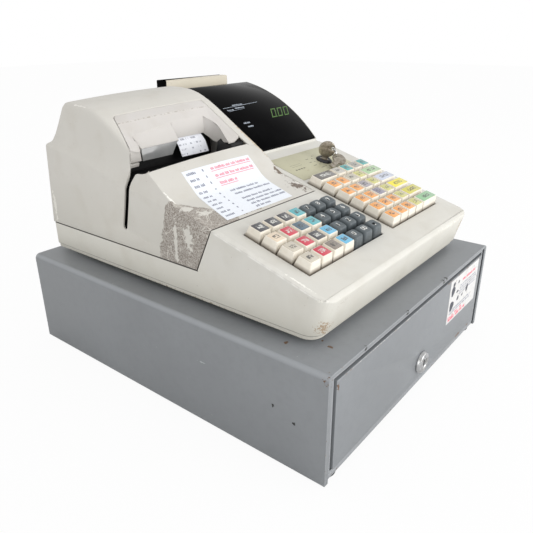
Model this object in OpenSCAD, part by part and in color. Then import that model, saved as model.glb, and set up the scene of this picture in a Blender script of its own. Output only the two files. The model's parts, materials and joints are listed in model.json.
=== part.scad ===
// Electronic ticket register: a plastic keyboard, display and printer unit that stands on a
// sheet-steel cash drawer. Millimetres, +Z up, front towards -Y. The origin lies on the
// surface that the rubber feet stand on, under the middle of the drawer.

/* [Drawer housing] */
// Width of the steel drawer housing
drawer_w = 365; // [350:1:390]
// Depth of the steel drawer housing, front edge to back
drawer_d = 420; // [410:1:440]
// Height of the steel drawer housing, without its feet
drawer_h = 111; // [104:1:125]
// Thickness of the sheet steel
sheet_t = 1.5; // [1:0.1:1.8]
// Outside radius of the bend along the top side edges
bend_r = 6; // [3:0.5:8]
// Width of the folded hem that faces forward, at the sides
hem_side = 5.5; // [4:0.5:7]
// Width of the folded hem that faces forward, at the top
hem_top = 3.5; // [2.5:0.5:4.5]
// Width of the chassis edge seen between the hem and the front panel, at the sides
rim_side = 3.5; // [3:0.5:5]
// Width of the chassis edge seen above the front panel
rim_top = 2.5; // [2:0.5:3.5]
// Width of the chassis edge seen below the front panel
rim_bottom = 7; // [5:0.5:8]
// Dark line between the hem and the chassis edge
rim_gap = 1.2; // [0.6:0.1:1.6]
// Running gap around the front panel
panel_gap = 2.4; // [1.5:0.1:3]
// Height of the rubber feet
foot_h = 3; // [2:0.5:6]
// Radius of the rubber feet
foot_r = 11; // [8:0.5:14]

/* [Drawer] */
// Depth of the folded front panel
panel_d = 14; // [10:1:18]
// Room behind the sliding tray for its catch and the pull magnet
tray_space = 40; // [36:1:60]
// Height of the tray walls
tray_h = 62; // [56:1:70]
// Free height between the housing floor and the tray
tray_lift = 6; // [4:0.5:8]
// Space between the tray and the chassis wall for the runners, on each side
runner_space = 12; // [11:0.5:14]
// Radius of the rollers on the tray
tray_roller_r = 7; // [6:0.25:7.5]
// Radius of the rollers at the front of the housing
frame_roller_r = 6; // [5:0.25:6.5]
// Width of the rollers
roller_w = 6; // [4:0.5:6.5]

/* [Drawer lock] */
// Distance of the lock to the right of the middle
lock_x = 5; // [-60:1:60]
// Height of the lock above the lower edge of the housing
lock_z = 30; // [26:1:60]
// Radius of the bevelled chrome ring
bezel_r = 12.5; // [11:0.5:15]
// How far the chrome ring stands out of the panel
lock_proud = 5; // [3:0.5:7]
// Radius of the lock barrel
barrel_r = 9.5; // [8.5:0.5:10.5]
// Radius of the turning cylinder in the lock
plug_r = 6; // [5:0.25:7]

/* [Till insert] */
// Wall thickness of the moulded till insert
till_t = 2.5; // [2:0.5:3]
// Depth, front to back, of the note bays
bay_d = 168; // [160:1:175]
// Number of note bays
bays = 4; // [3:1:5]
// Number of coin cups in each of the two rows
cups = 4; // [3:1:5]
// Height of the till insert
till_h = 48; // [42:1:52]

/* [Register case] */
// Width of the register
reg_w = 313; // [308:1:318]
// Depth of the register
reg_d = 392; // [388:1:396]
// Distance of the register's back from the drawer's back edge
reg_inset = 8; // [4:0.5:12]
// Wall thickness of the mouldings
wall = 2.5; // [2:0.1:3]
// Radius of the front corners, seen from above
corner_r = 15; // [10:1:20]
// Radius of the back corners, seen from above
back_corner_r = 7; // [4:0.5:10]
// Height of the upper case's lower edge above the drawer
band_z = 10; // [8:0.5:12]
// Height of the seam under the printer cover
seam_z = 37; // [34:0.5:40]
// Height of the front edge of the keyboard
crest_z = 45.9; // [43:0.1:48]
// How far the front face is undercut at its lower edge
undercut = 10; // [6:0.5:12]
// Slope of the keyboard
deck_angle = 15.9; // [15:0.1:17]
// Highest point of the hump
hump_z = 177.5; // [174:0.5:181]
// Radius of the curved display face
hump_r = 215.5; // [208:0.5:230]
// Distance of the display's foot from the front of the case
hump_foot = 221.3; // [219:0.1:223]
// Distance of the hump's highest line from the front of the case
hump_top = 344.5; // [342:0.5:348]
// Gap at the seams between the mouldings
seam = 0.4; // [0.3:0.05:0.6]

/* [Keyboard] */
// Distance between keys, left to right
key_x = 19.05; // [18.9:0.05:19.2]
// Distance between keys, along the slope
key_y = 19.05; // [18.9:0.05:19.2]
// Height of the key tops above the keyboard
key_h = 10.2; // [8:0.1:12]
// Travel of a key
key_travel = 3.5; // [2:0.5:4]
// Gap between neighbouring keys
key_gap = 0.65; // [0.4:0.05:0.9]
// Left edge of the left key field, from the left side of the case
left_field = 22; // [20:0.5:23]
// Left edge of the right key field, from the left side of the case
right_field = 176.5; // [175:0.5:178]
// Distance of both key fields from the front edge, along the slope
field_v = 34.5; // [32:0.5:36]

/* [Printer cover] */
// Width of the printer cover
cover_w = 168.5; // [166:0.5:170]
// How far the cover's tall part rises above the display
cover_rise = 5; // [3:0.5:7]
// How much lower the cover's top is at its outer side
cover_fall = 6; // [3:0.5:8]
// How far the tall part of the cover steps in from the side
ledge = 8; // [6:0.5:10]
// Distance of the paper opening's front lip from the front of the case
lip = 214; // [212:0.5:216]
// Distance of the paper opening's upper edge from the front of the case
brow = 286.5; // [284:0.5:289]
// Width of the paper opening along its upper edge
opening_w = 131; // [128:1:133]
// Right edge of the paper opening, from the right edge of the cover
opening_right = 13; // [12:0.5:15]
// How far the inner frame lies below the cover's curved face
frame_drop = 7.5; // [6:0.5:9]
// Width of the paper rolls
roll_w = 44.5; // [42:0.5:46]
// Radius of a new paper roll
roll_r = 27; // [22:0.5:28]

/* [Customer display] */
// Width of the display on the back
cust_w = 121; // [116:1:128]
// Height of the display on the back
cust_h = 38; // [34:1:42]
// Depth of the display on the back
cust_d = 18; // [14:0.5:20]

/* [Hidden] */
$fn = 48;

// Running clearance of pins in their holes
run = 0.05;
// Small overshoot that keeps cuts clean
cut = 1;

// Drawer: key planes
front_y = -drawer_d / 2;
back_y = drawer_d / 2;
side_x = drawer_w / 2;
shell_top = foot_h + drawer_h;
floor_z = foot_h + sheet_t;
opening_x = side_x - hem_side - rim_gap - rim_side;
opening_top = shell_top - hem_top - rim_gap - rim_top;
opening_bottom = floor_z + rim_bottom;
panel_x = opening_x - panel_gap;
panel_top = opening_top - panel_gap;
panel_bottom = opening_bottom + panel_gap / 2;
tray_front = front_y + panel_d;
tray_back = back_y - tray_space;
tray_x = opening_x - runner_space;
tray_z = floor_z + sheet_t + tray_lift;
tray_top = tray_z + tray_h;
rail_z = foot_h + 25;
rail_in = tray_x + 2;
wheel_z = rail_z + sheet_t + tray_roller_r + 0.25;
rail_top = wheel_z + tray_roller_r + 0.75 + sheet_t;
lip_z = rail_top + 4;
frame_wheel_z = lip_z - frame_roller_r - 0.25;
frame_wheel_y = front_y + 27;
tray_wheel_y = tray_back - 15;
wheel_x = (tray_x + opening_x) / 2;
lock_c = [lock_x, front_y, foot_h + lock_z];
latch_p = [8, tray_back + 20, tray_z + 8];
latch_t = 4;
latch_open = 18;
weld = 0.02;

// Till insert
till_x = tray_x - sheet_t - 1;
till_y0 = tray_front + 15;
till_y1 = tray_back - sheet_t - 2;
till_z = tray_z + sheet_t;
bay_w = (2 * till_x - till_t) / bays;
cup_w = (2 * till_x - till_t) / cups;
bay_y0 = till_y1 - bay_d;
cup_d = (bay_y0 - till_y0) / 2;
clip_y = till_y1 - 14;
clip_z = till_z + till_h - 7;
clip_l = 105;

// Register: planes. Heights in this block count from the top of the drawer
body_l = -reg_w / 2;
body_r = reg_w / 2;
body_b = back_y - reg_inset;
body_f = body_b - reg_d;
foot_y = body_f + hump_foot;
top_y = body_f + hump_top;
top_flat = 5;
shoulder = [body_b - 11, hump_z - 47];
cover_r = body_l + cover_w;
cover_top = hump_z + cover_rise;
lip_y = body_f + lip;
brow_y = body_f + brow;
open_r = cover_r - opening_right;
open_l = open_r - opening_w;
cover_front = body_f + 126.5;
cover_lean = 21;

// Height of the sloping deck at a depth
function deck_z(y) = crest_z + (y - body_f) * tan(deck_angle);
// Centre of the curved face, through the display's foot and the hump's highest line
function arc_centre() =
    let (f = [foot_y, deck_z(foot_y)], k = [top_y, hump_z], c = k - f, l = norm(c),
         h = sqrt(hump_r * hump_r - l * l / 4))
    (f + k) / 2 + h * [c[1], -c[0]] / l;
arc_c = arc_centre();
// Height of the curved face at a depth, at a distance below the surface
function arc_z(y, down = 0) = arc_c[1] + sqrt(pow(hump_r - down, 2) - pow(y - arc_c[0], 2));

// Keyboard places
left_x = body_l + left_field;
right_x = body_l + right_field;
left_cols = 7;
left_rows = 4;
right_cols = 6;
right_rows = 6;
field_edge = 0.4;
plate_w = -9;
plate_t = 2;
stem = 4.4;
stem_gap = 0.3;

// Mode lock and keys
mode_x = body_r - 58;
mode_v = 178.2;
mode_r = 9;
mode_h = 3.5;
mode_plug_r = 5.5;
key_turn = -50;
bow_r = 10.5;
bow_h = 15.5;
key_t = 2;
hole_x = 6.94;
hole_h = 17.65;
hole_r = 2.2;

// Printer parts in the bay
roll_y = body_f + 333;
roll_z = 84;
receipt_x = open_r - 42.5;
journal_x = receipt_x - 66;
spool_y = body_f + 266;
spool_z = 92;

// Customer display
cust_x0 = cover_r + 7.3;
cust_cap = 1.6;
cust_y1 = body_b - 4;
cust_z0 = hump_z + 10 - cust_h;
mast_x = cust_x0 + cust_w * 0.55;
mast_w = 30;
mast_y1 = cust_y1 - 10.5;
mast_d = 8.5;
gland_x = body_r - 45;
gland_z = 20;
gland_tip = back_y + lock_proud;
cord_r = 3.6;

// ---------- shared shapes ----------

module along_x(x0, x1) {
    translate([x0, 0, 0]) rotate([90, 0, 90]) linear_extrude(x1 - x0) children();
}

module along_y(y0, y1) {
    translate([0, y1, 0]) rotate([90, 0, 0]) linear_extrude(y1 - y0) children();
}

// A box from its lowest to its highest corner
module block(lo, hi) {
    translate(lo) cube(hi - lo);
}

// A round bar along X
module bar_x(x0, x1, y, z, r) {
    translate([x0, y, z]) rotate([0, 90, 0]) cylinder(r = r, h = x1 - x0);
}

// A round bar along Y
module bar_y(y0, y1, x, z, r) {
    translate([x, y0, z]) rotate([-90, 0, 0]) cylinder(r = r, h = y1 - y0);
}

module both_sides() {
    children();
    mirror([1, 0, 0]) children();
}

// Everything of the register stands on the drawer
module on_drawer() {
    translate([0, 0, shell_top]) children();
}

// X to the right, Y up the slope from the front edge, Z out of the keyboard
module on_deck() {
    translate([0, body_f, shell_top + crest_z]) rotate([deck_angle, 0, 0]) children();
}

// Front outline of the drawer housing, with rounded upper corners
module housing_face(inset, r, bottom) {
    x = side_x - inset;
    z = shell_top - inset;
    translate([-x, bottom]) square([2 * x, z - r - bottom]);
    translate([-x + r, bottom]) square([2 * (x - r), z - bottom]);
    for (s = [-1, 1]) translate([s * (x - r), z - r]) circle(r);
}

// ---------- drawer housing ----------

module drawer_shell() color([0.56, 0.58, 0.59]) difference() {
    along_y(front_y, back_y) housing_face(0, bend_r, foot_h);
    along_y(front_y + sheet_t, back_y + cut)
        housing_face(sheet_t, bend_r - sheet_t + 0.01, floor_z);
    along_y(front_y - cut, back_y) translate([-side_x + hem_side, foot_h - cut])
        square([drawer_w - 2 * hem_side, drawer_h - hem_top + cut]);
}

module drawer_chassis() color([0.6, 0.62, 0.63]) {
    in = sheet_t + 0.3;
    rim_y = front_y + sheet_t + 0.3;
    rim_x = side_x - hem_side - rim_gap;
    rim_z = shell_top - hem_top - rim_gap;
    difference() {
        union() {
            // folded edge around the drawer opening, side walls, floor and back wall
            block([-rim_x, rim_y, floor_z], [rim_x, rim_y + 10, rim_z]);
            block([-opening_x - sheet_t, rim_y, floor_z], [opening_x + sheet_t, back_y - 0.2, opening_top + sheet_t]);
        }
        block([-opening_x, rim_y - cut, opening_bottom], [opening_x, rim_y + 10 + cut, opening_top]);
        block([-opening_x, rim_y + 10 - sheet_t, floor_z + sheet_t],
              [opening_x, back_y - 0.2 - sheet_t, shell_top]);
        block([-rim_x + sheet_t, rim_y + sheet_t, opening_top + sheet_t],
              [rim_x - sheet_t, rim_y + 10 + cut, rim_z - sheet_t]);
        block([-side_x, rim_y + 10, opening_top], [side_x, back_y + cut, shell_top]);
    }
    // flanges that carry the chassis on the housing's lower edges
    both_sides() block([opening_x + sheet_t, rim_y + 10, floor_z],
                       [side_x - in, back_y - 0.2, floor_z + sheet_t]);
    // pin that the release latch turns on
    translate([latch_p[0], latch_p[1], floor_z + sheet_t]) cylinder(r = 2.5, h = 22);
}

// Each runner: a web against the housing and two flanges, spot-welded
module runner_rails() color([0.7, 0.71, 0.72]) both_sides() {
    y0 = frame_wheel_y + frame_roller_r + 4;
    y1 = back_y - 12;
    block([opening_x - sheet_t, y0, rail_z], [opening_x, y1, rail_top]);
    block([rail_in, y0, rail_z], [opening_x - sheet_t - weld, y1, rail_z + sheet_t]);
    block([rail_in, y0, rail_top - sheet_t], [opening_x - sheet_t - weld, y1, rail_top]);
}

module frame_rollers() color([0.9, 0.9, 0.88]) both_sides() {
    bar_x(wheel_x - roller_w / 2, wheel_x + roller_w / 2, frame_wheel_y, frame_wheel_z, frame_roller_r);
    bar_x(wheel_x + roller_w / 2, opening_x - 0.2, frame_wheel_y, frame_wheel_z, 2.5);
}

module drawer_feet() color([0.08, 0.08, 0.08]) {
    for (x = [-1, 1], y = [-1, 1])
        translate([x * (side_x - 20), y * (back_y - 14), 0]) {
            cylinder(r = foot_r, h = foot_h + sheet_t);
        }
}

// ---------- sliding drawer ----------

module drawer_tray() color([0.66, 0.68, 0.69]) {
    difference() {
        block([-tray_x, tray_front, tray_z], [tray_x, tray_back, tray_top]);
        block([-tray_x + sheet_t, tray_front + sheet_t, tray_z + sheet_t],
              [tray_x - sheet_t, tray_back - sheet_t, tray_top + cut]);
        // tail end of the lock barrel
        bar_y(tray_front - cut, tray_front + sheet_t + cut, lock_c[0], lock_c[2], barrel_r + 1.5);
        // holes for the roller axles
        both_sides() bar_x(tray_x - sheet_t - cut, tray_x + cut, tray_wheel_y, wheel_z, 2.5 + run);
    }
    // side lips that run on the front rollers
    both_sides() block([tray_x, tray_front + 2, lip_z], [wheel_x + roller_w / 2, tray_back, lip_z + sheet_t]);
    // arm and bar of the catch that the release latch holds, welded on
    block([-6.5, tray_back + weld, latch_p[2]], [-4, tray_back + 8.5 - weld, latch_p[2] + latch_t]);
    block([-6.5, tray_back + 8.5, latch_p[2]], [0.5, tray_back + 11, latch_p[2] + latch_t]);
}

module tray_rollers() color([0.9, 0.9, 0.88]) both_sides() {
    bar_x(wheel_x - roller_w / 2, wheel_x + roller_w / 2, tray_wheel_y, wheel_z, tray_roller_r);
    bar_x(tray_x - sheet_t - 1, wheel_x - roller_w / 2, tray_wheel_y, wheel_z, 2.5);
}

module drawer_front() color([0.6, 0.62, 0.63]) difference() {
    block([-panel_x, front_y, panel_bottom], [panel_x, tray_front, panel_top]);
    block([-panel_x + sheet_t, front_y + sheet_t, panel_bottom + sheet_t],
          [panel_x - sheet_t, tray_front + cut, panel_top - sheet_t]);
    bar_y(front_y - cut, front_y + sheet_t + cut, lock_c[0], lock_c[2], barrel_r + 0.2);
}

// Ring and barrel of the drawer lock, turned in one piece
module lock_body() color([0.8, 0.8, 0.8])
    translate(lock_c) rotate([-90, 0, 0]) rotate_extrude($fn = 64) polygon([
        [plug_r + run, -lock_proud + 1], [bezel_r - 4, -lock_proud], [bezel_r - 1.5, -lock_proud + 0.6],
        [bezel_r, -1.6], [bezel_r, 0], [barrel_r, 0], [barrel_r, 22], [plug_r + run, 22]]);

module lock_cylinder() color([0.7, 0.7, 0.7]) difference() {
    union() {
        bar_y(front_y - lock_proud + 1, front_y + 25, lock_c[0], lock_c[2], plug_r);
        block([lock_x - 5, front_y + 22.5, lock_c[2] - 7], [lock_x + 5, front_y + 25, lock_c[2] + 26]);
    }
    block([lock_x - 0.9, front_y - lock_proud - cut, lock_c[2] - 4.2],
          [lock_x + 0.9, front_y - lock_proud + 12, lock_c[2] + 4.2]);
}

module till_insert() color([0.16, 0.16, 0.17]) {
    difference() {
        block([-till_x, till_y0, till_z], [till_x, till_y1, till_z + till_h]);
        for (i = [0:bays - 1])
            block([-till_x + till_t + i * bay_w, bay_y0 + till_t, till_z + till_t],
                  [-till_x + (i + 1) * bay_w, till_y1 - till_t, till_z + till_h + cut]);
        for (i = [0:cups - 1], j = [0, 1])
            block([-till_x + till_t + i * cup_w, till_y0 + till_t + j * cup_d, till_z + till_t],
                  [-till_x + (i + 1) * cup_w, till_y0 + (j + 1) * cup_d, till_z + till_h + cut]);
    }
    // bar that the note clips turn on
    for (i = [0:bays - 1])
        bar_x(-till_x + till_t + i * bay_w, -till_x + (i + 1) * bay_w, clip_y, clip_z, 1.5);
}

module note_clips() color([0.1, 0.1, 0.1]) for (i = [0:bays - 1]) {
    c = -till_x + till_t / 2 + (i + 0.5) * bay_w;
    tilt = asin((clip_z - till_z - till_t - 3.5) / clip_l);
    difference() {
        union() {
            bar_x(c - 14, c + 14, clip_y, clip_z, 3.2);
            translate([c, clip_y, clip_z]) rotate([tilt, 0, 0])
                block([-11, -clip_l, -1], [11, -1, 1]);
        }
        bar_x(c - 15, c + 15, clip_y, clip_z, 1.5 + run);
    }
}

// Lever with a tooth that turns in front of the tray's catch, here drawn back
module release_latch() color([0.75, 0.72, 0.6]) translate(latch_p) rotate([0, 0, latch_open]) difference() {
    union() {
        cylinder(r = 6, h = latch_t);
        block([-3.5, -16, 0], [3.5, 0, latch_t]);
        block([-10, -16, 0], [3.5, -13, latch_t]);
    }
    translate([0, 0, -cut]) cylinder(r = 2.5 + run, h = latch_t + 2 * cut);
}

// Pull magnet for the latch, its rod above the lever
module solenoid() color([0.3, 0.3, 0.32]) {
    z = floor_z + sheet_t;
    block([76, tray_back + 6, z], [112, back_y - 0.2 - sheet_t, z + 32]);
    bar_x(latch_p[0] + 4, 76, latch_p[1] - 8, latch_p[2] + latch_t + 4, 3);
}

// ---------- register case ----------

// Corner points of the outline seen from above, clockwise, at a height
function corner(c, r, a0) = [for (k = [0:8]) let (a = a0 - k * 11.25) [c[0] + r * cos(a), c[1] + r * sin(a)]];
function outline(inset, front) =
    let (l = body_l + inset, r = body_r - inset, f = front + inset, b = body_b - inset,
         rf = corner_r - inset, rb = max(back_corner_r - inset, 1))
    concat(corner([l + rf, f + rf], rf, 270), corner([l + rb, b - rb], rb, 180),
           corner([r - rb, b - rb], rb, 90), corner([r - rf, f + rf], rf, 0));

module case_plan(inset, front) polygon(outline(inset, front));

// Skin through sections that all have the same number of points
module skin(sections) {
    n = len(sections[0]);
    m = len(sections);
    polyhedron(points = [for (s = sections) each s],
        faces = concat([[for (i = [n - 1:-1:0]) i]],
            [for (j = [0:m - 2], i = [0:n - 1])
                [j * n + i, j * n + (i + 1) % n, (j + 1) * n + (i + 1) % n, (j + 1) * n + i]],
            [[for (i = [0:n - 1]) (m - 1) * n + i]]), convexity = 6);
}

// Leaning walls of the case: the front face comes forward as it rises
module case_walls(inset, z0, z1) {
    lean = undercut / (crest_z - band_z);
    skin([for (z = [z0, z1]) [for (p = outline(inset, body_f + undercut - lean * (z - band_z)))
        [p[0], p[1], z]]]);
}

// Side view of the deck and the hump
module case_side(inset, z0) {
    f = body_f - 30;
    polygon([[f, z0], [body_b, z0], [body_b, crest_z], [shoulder[0], shoulder[1] - inset],
        [foot_y - 20, deck_z(foot_y - 20) - inset], [f, deck_z(f) - inset]]);
    intersection() {
        translate(arc_c) circle(hump_r - inset, $fn = 180);
        polygon([[foot_y, z0], [shoulder[0] - inset * 0.8, z0], [shoulder[0] - inset * 0.8, shoulder[1] - inset],
            [top_y + top_flat - inset * 0.5, hump_z - inset], [top_y - 20, hump_z - inset],
            [top_y - 20, hump_z + 40 - inset], [foot_y, hump_z]]);
    }
}

// Rounded lip along the front and the leaning back wall
module case_round(inset, z0) {
    r = 10;
    intersection() {
        union() {
            translate([body_f + inset + r * 0.98, crest_z - r * 0.72]) circle(r);
            polygon([[body_f - 9, z0 - 5], [body_b + 6, z0 - 5], [body_b + 6, hump_z + 60],
                [body_f + inset + r * 0.7, hump_z + 60], [body_f + inset + r * 0.7, crest_z - r * 0.8],
                [body_f - 9, crest_z - r * 0.8]]);
        }
        polygon([[body_f - 30, z0 - 9], [body_b + 0.2 - inset, z0 - 9],
            [body_b - inset, z0], [shoulder[0] - inset, shoulder[1]],
            [shoulder[0] - inset, hump_z + 70], [body_f - 30, hump_z + 70]]);
    }
}

module case_solid(inset, z0) intersection() {
    case_walls(inset, z0, hump_z + 20);
    along_x(body_l - 5, body_r + 5) intersection() {
        case_side(inset, z0);
        case_round(inset, z0);
    }
}

// Space that the printer cover takes, grown by a gap
module cover_zone(grow) along_x(body_l - 5, cover_r + grow) polygon([
    [cover_front + cover_lean - grow, seam_z - grow], [cover_front - grow, deck_z(cover_front)],
    [cover_front - 20 - grow, hump_z + 60], [body_b + 5, hump_z + 60], [body_b + 5, seam_z - grow]]);

module key_fields() {
    for (f = [[left_x, left_cols, left_rows], [right_x, right_cols, right_rows]])
        translate([f[0] - field_edge, field_v - field_edge, 0])
            cube([f[1] * key_x + 2 * field_edge, f[2] * key_y + 2 * field_edge, 20]);
}

module top_case() color([0.82, 0.81, 0.77]) difference() {
    on_drawer() difference() {
        case_solid(0, band_z);
        difference() {
            case_solid(wall, band_z - cut);
            cover_zone(seam + wall);
        }
        cover_zone(seam);
        // seat and window of the display filter
        intersection() {
            along_x(cover_r + seam, body_r - 2) difference() {
                translate(arc_c) circle(hump_r + 5, $fn = 180);
                translate(arc_c) circle(hump_r - 2, $fn = 180);
            }
            block([cover_r, foot_y + 1, 0], [body_r, top_y + 1, hump_z + 30]);
        }
        block([cover_r + 14, foot_y + 20, 60], [body_r - 14, foot_y + 90, hump_z + 10]);
        // socket of the customer display's mast
        block([mast_x - mast_w / 2 - 0.3, mast_y1 - mast_d - 0.3, 90],
              [mast_x + mast_w / 2 + 0.3, mast_y1 + 0.3, hump_z + 20]);
        // cord gland and screws in the back wall
        bar_y(body_b - 20, body_b + 5, gland_x, gland_z, 8);
        for (x = screw_places()) bar_y(body_b - 20, body_b + 5, x, screw_z, 1.9);
    }
    on_deck() translate([0, 0, -10]) key_fields();
    on_deck() translate([mode_x, mode_v, -12]) cylinder(r = mode_r + 0.1, h = 20);
}

// Holes in the back wall
screw_z = 22;
function screw_places() = [body_l + 25, -40, 45, body_r - 20];

module case_screws() color([0.35, 0.35, 0.36]) on_drawer() {
    wall_y = body_b - 0.8;
    for (x = screw_places()) {
        bar_y(wall_y + 0.6, wall_y + 2.6, x, screw_z, 3.6);
        bar_y(wall_y - 7, wall_y + 0.6, x, screw_z, 1.6);
    }
}

module bottom_case() color([0.75, 0.74, 0.7]) on_drawer() {
    front = body_f + undercut + 1.5;
    low = band_z - 4.3;
    difference() {
        union() {
            translate([0, 0, low]) linear_extrude(band_z - seam - low) case_plan(1.5, front);
            translate([0, 0, low]) linear_extrude(14) case_plan(wall + 1.5, front);
        }
        translate([0, 0, low + wall]) linear_extrude(30) case_plan(2 * wall + 1.5, front);
        bar_y(body_b - 20, body_b + 5, gland_x, gland_z, 9.5);
        for (x = screw_places()) bar_y(body_b - 20, body_b + 5, x, screw_z, 4);
    }
    // feet under the case and posts under the board
    for (x = [body_l + 35, body_r - 35], y = [body_f + 50, body_b - 40])
        translate([x, y, 0]) cylinder(r = 12, h = low + 0.1);
    for (x = [-90, 90], y = [-20, 90])
        translate([x, y, low + wall - 0.1]) cylinder(r = 4, h = 4.1);
}

// ---------- printer cover ----------

// Rise of the cover's right-hand crest, from the deck to the top, along the case
rise = [[166, 0], [176, 0.05], [186, 0.149], [198, 0.261], [216, 0.39], [235, 0.52], [254, 0.657],
    [271, 0.776], [285, 0.865], [300, 0.939], [314, 0.98], [330, 0.998], [350, 1]];
rise_z = deck_z(body_f + rise[0][0]);
function crest_at(d) = d <= rise[0][0] ? deck_z(body_f + d)
    : rise_z + (cover_top - rise_z) * lookup(d, rise);
// Height of the outer crease and of the foot of the tall side wall
crease = [[120, -18], [176, -2.5], [236, 9], [249, 9], [284, 20], [317, 28], [353, 33], [381, 37.5]];
function crease_at(d) = rise_z + min(lookup(d, crease), crest_at(d) - rise_z - 3);
function wall_foot(d) = rise_z + 31.5 + (d - 247) * 0.089;

// One section of the cover across the case, d from its front, inset all round
function cover_section(d, inset, z0) =
    let (y = body_f + d, tall = min(max((d - 226) / 14, 0), 1), top = crest_at(d) - inset,
         fall = cover_fall * min(max((d - 166) / 28, 0), 1), low = crease_at(d) - inset,
         foot = low + 1 + tall * max(wall_foot(d) - low - inset - 1, 0.5),
         outer = max(top - fall, foot + 0.8))
    [[cover_r - inset, y, z0], [cover_r - inset, y, max(top, outer + 0.2)],
     [(body_l + cover_r) / 2, y, max(top - fall * 0.25, outer + 0.1)],
     [body_l + inset + 3 + tall * (ledge - 0.5), y, outer],
     [body_l + inset + 0.6 + tall * (ledge - 0.6), y, foot],
     [body_l + inset, y, low], [body_l + inset, y, z0]];

module cover_skin(inset, z0) {
    last = reg_d - 42;
    skin(concat([for (d = [110, 140]) cover_section(d, inset, z0)],
        [for (r = rise) cover_section(r[0], inset, z0)],
        [let (d = reg_d - 11 - inset * 0.5, b = crease_at(reg_d - 11) - inset)
            [[cover_r - inset, body_f + d, z0], [cover_r - inset, body_f + d, b + 5],
             [(body_l + cover_r) / 2, body_f + d, b + 4], [body_l + inset + 3 + ledge, body_f + d, b + 3],
             [body_l + inset + ledge, body_f + d, b + 2], [body_l + inset, body_f + d, b],
             [body_l + inset, body_f + d, z0]]],
        [let (y = body_b - 2.4 - inset, b = seam_z + 4)
            [[cover_r - inset, y, z0], [cover_r - inset, y, b + 3], [(body_l + cover_r) / 2, y, b + 2.6],
             [body_l + inset + 3 + ledge, y, b + 2], [body_l + inset + ledge, y, b + 1],
             [body_l + inset, y, b], [body_l + inset, y, z0]]]));
}

module cover_solid(inset, z0) intersection() {
    cover_skin(inset, z0);
    along_x(body_l - 5, cover_r + 5) polygon([[cover_front + cover_lean + inset, z0 - 5],
        [cover_front + cover_lean + inset, seam_z], [cover_front + inset, deck_z(cover_front)],
        [cover_front - 15, deck_z(cover_front) + 30], [body_b + 5, hump_z + 60], [body_b + 5, z0 - 5]]);
}

slot_x = body_l + 12;
module printer_cover() color([0.84, 0.83, 0.79]) on_drawer() difference() {
    cover_solid(0, seam_z);
    cover_solid(wall, seam_z - cut);
    // paper opening between the lip and the upper edge, wider towards the front
    translate([0, 0, 60]) linear_extrude(hump_z) polygon([[open_r, brow_y], [open_l, brow_y],
        [open_l - 14, lip_y + 30], [slot_x - 1, lip_y + 28], [slot_x - 1, lip_y], [open_r, lip_y]]);
    // slot in the side wall, from the opening down, with a round end
    along_x(body_l - 5, slot_x) polygon([[lip_y + 4, 124], [lip_y + 14, 117.5],
        [lip_y + 23.5, 102], [lip_y + 33, 62], [lip_y + 38, 62], [lip_y + 28.8, 104], [lip_y + 29, 108],
        [lip_y + 29, hump_z + 20], [lip_y + 4, hump_z + 20]]);
    bar_x(body_l - 5, slot_x, lip_y + 35.5, 62, 2.5);
}

// Frame under the opening's upper edge: receipt recess, journal window and paper guides
frame_t = 2.5;
frame_y0 = lip_y + 26;
recess_y = brow_y - 16;
receipt_l = receipt_x - 22.5;
receipt_r = receipt_x + 29;
journal_l = open_l + 6;
journal_r = receipt_l - 2;
function frame_z(y) = crest_at(y - body_f) - frame_drop;
frame_steps = [for (k = [0:8]) frame_y0 + k * (brow_y - 0.8 - frame_y0) / 8];

module cutter_cover() color([0.84, 0.82, 0.79]) on_drawer() {
    journal_y = brow_y - 21.5;
    difference() {
        along_x(open_l + seam + 2, open_r - seam) polygon(concat([for (y = frame_steps) [y, frame_z(y)]],
            [for (k = [8:-1:0]) [frame_steps[k], frame_z(frame_steps[k]) - frame_t - 0.5]]));
        block([receipt_l, frame_y0 - 5, 60], [receipt_r, recess_y, hump_z + 20]);
        block([journal_l, frame_y0 - 5, 60], [journal_r, journal_y, hump_z + 20]);
    }
    // wall behind the receipt and its two cheeks
    along_x(receipt_l - 2, receipt_r + 2) polygon([[recess_y, 136], [recess_y + frame_t, 136],
        [recess_y + frame_t, frame_z(recess_y) - 0.5], [recess_y, frame_z(recess_y) - 0.5]]);
    for (x = [receipt_l - 2, receipt_r]) along_x(x, x + 2)
        polygon([[frame_y0 + 14, 124], [recess_y + 1, 136], [recess_y + 1, frame_z(recess_y) - 0.5],
            [journal_y, frame_z(journal_y) - 0.5], [frame_y0 + 14, frame_z(frame_y0 + 14) - 0.6]]);
    // steep face above the journal window
    along_x(journal_l - 1, journal_r + 0.5) polygon([[journal_y - 8.5, 135.5], [journal_y - 6, 135.5],
        [journal_y + 2.5, frame_z(journal_y) - 2], [journal_y + 1, frame_z(journal_y + 1) - 0.4],
        [journal_y - 0.5, frame_z(journal_y) - 0.4]]);
    // short leg beside the journal window
    along_x(open_l - 7, journal_l) polygon([[frame_y0 + 2, 122], [frame_y0 + 14, 124],
        [frame_y0 + 18, frame_z(frame_y0 + 18) - 1], [frame_y0 + 7, frame_z(frame_y0 + 7) - 1]]);
}

module journal_window() color([0.6, 0.6, 0.6, 0.8]) on_drawer() {
    journal_y = brow_y - 21.5;
    along_x(journal_l + 0.3, journal_r - 0.3) polygon([[journal_y - 12, 119.5], [journal_y - 10, 119.5],
        [journal_y - 6.3, 135.2], [journal_y - 8.3, 135.2]]);
}

// ---------- display ----------

module display_filter() color([0.03, 0.03, 0.035]) on_drawer() intersection() {
    along_x(cover_r + seam + 0.3, body_r - 2.3) difference() {
        translate(arc_c) circle(hump_r + 0.6, $fn = 180);
        translate(arc_c) circle(hump_r - 2, $fn = 180);
    }
    block([cover_r, foot_y + 1.3, 0], [body_r, top_y + 0.7, hump_z + 30]);
}

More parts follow.
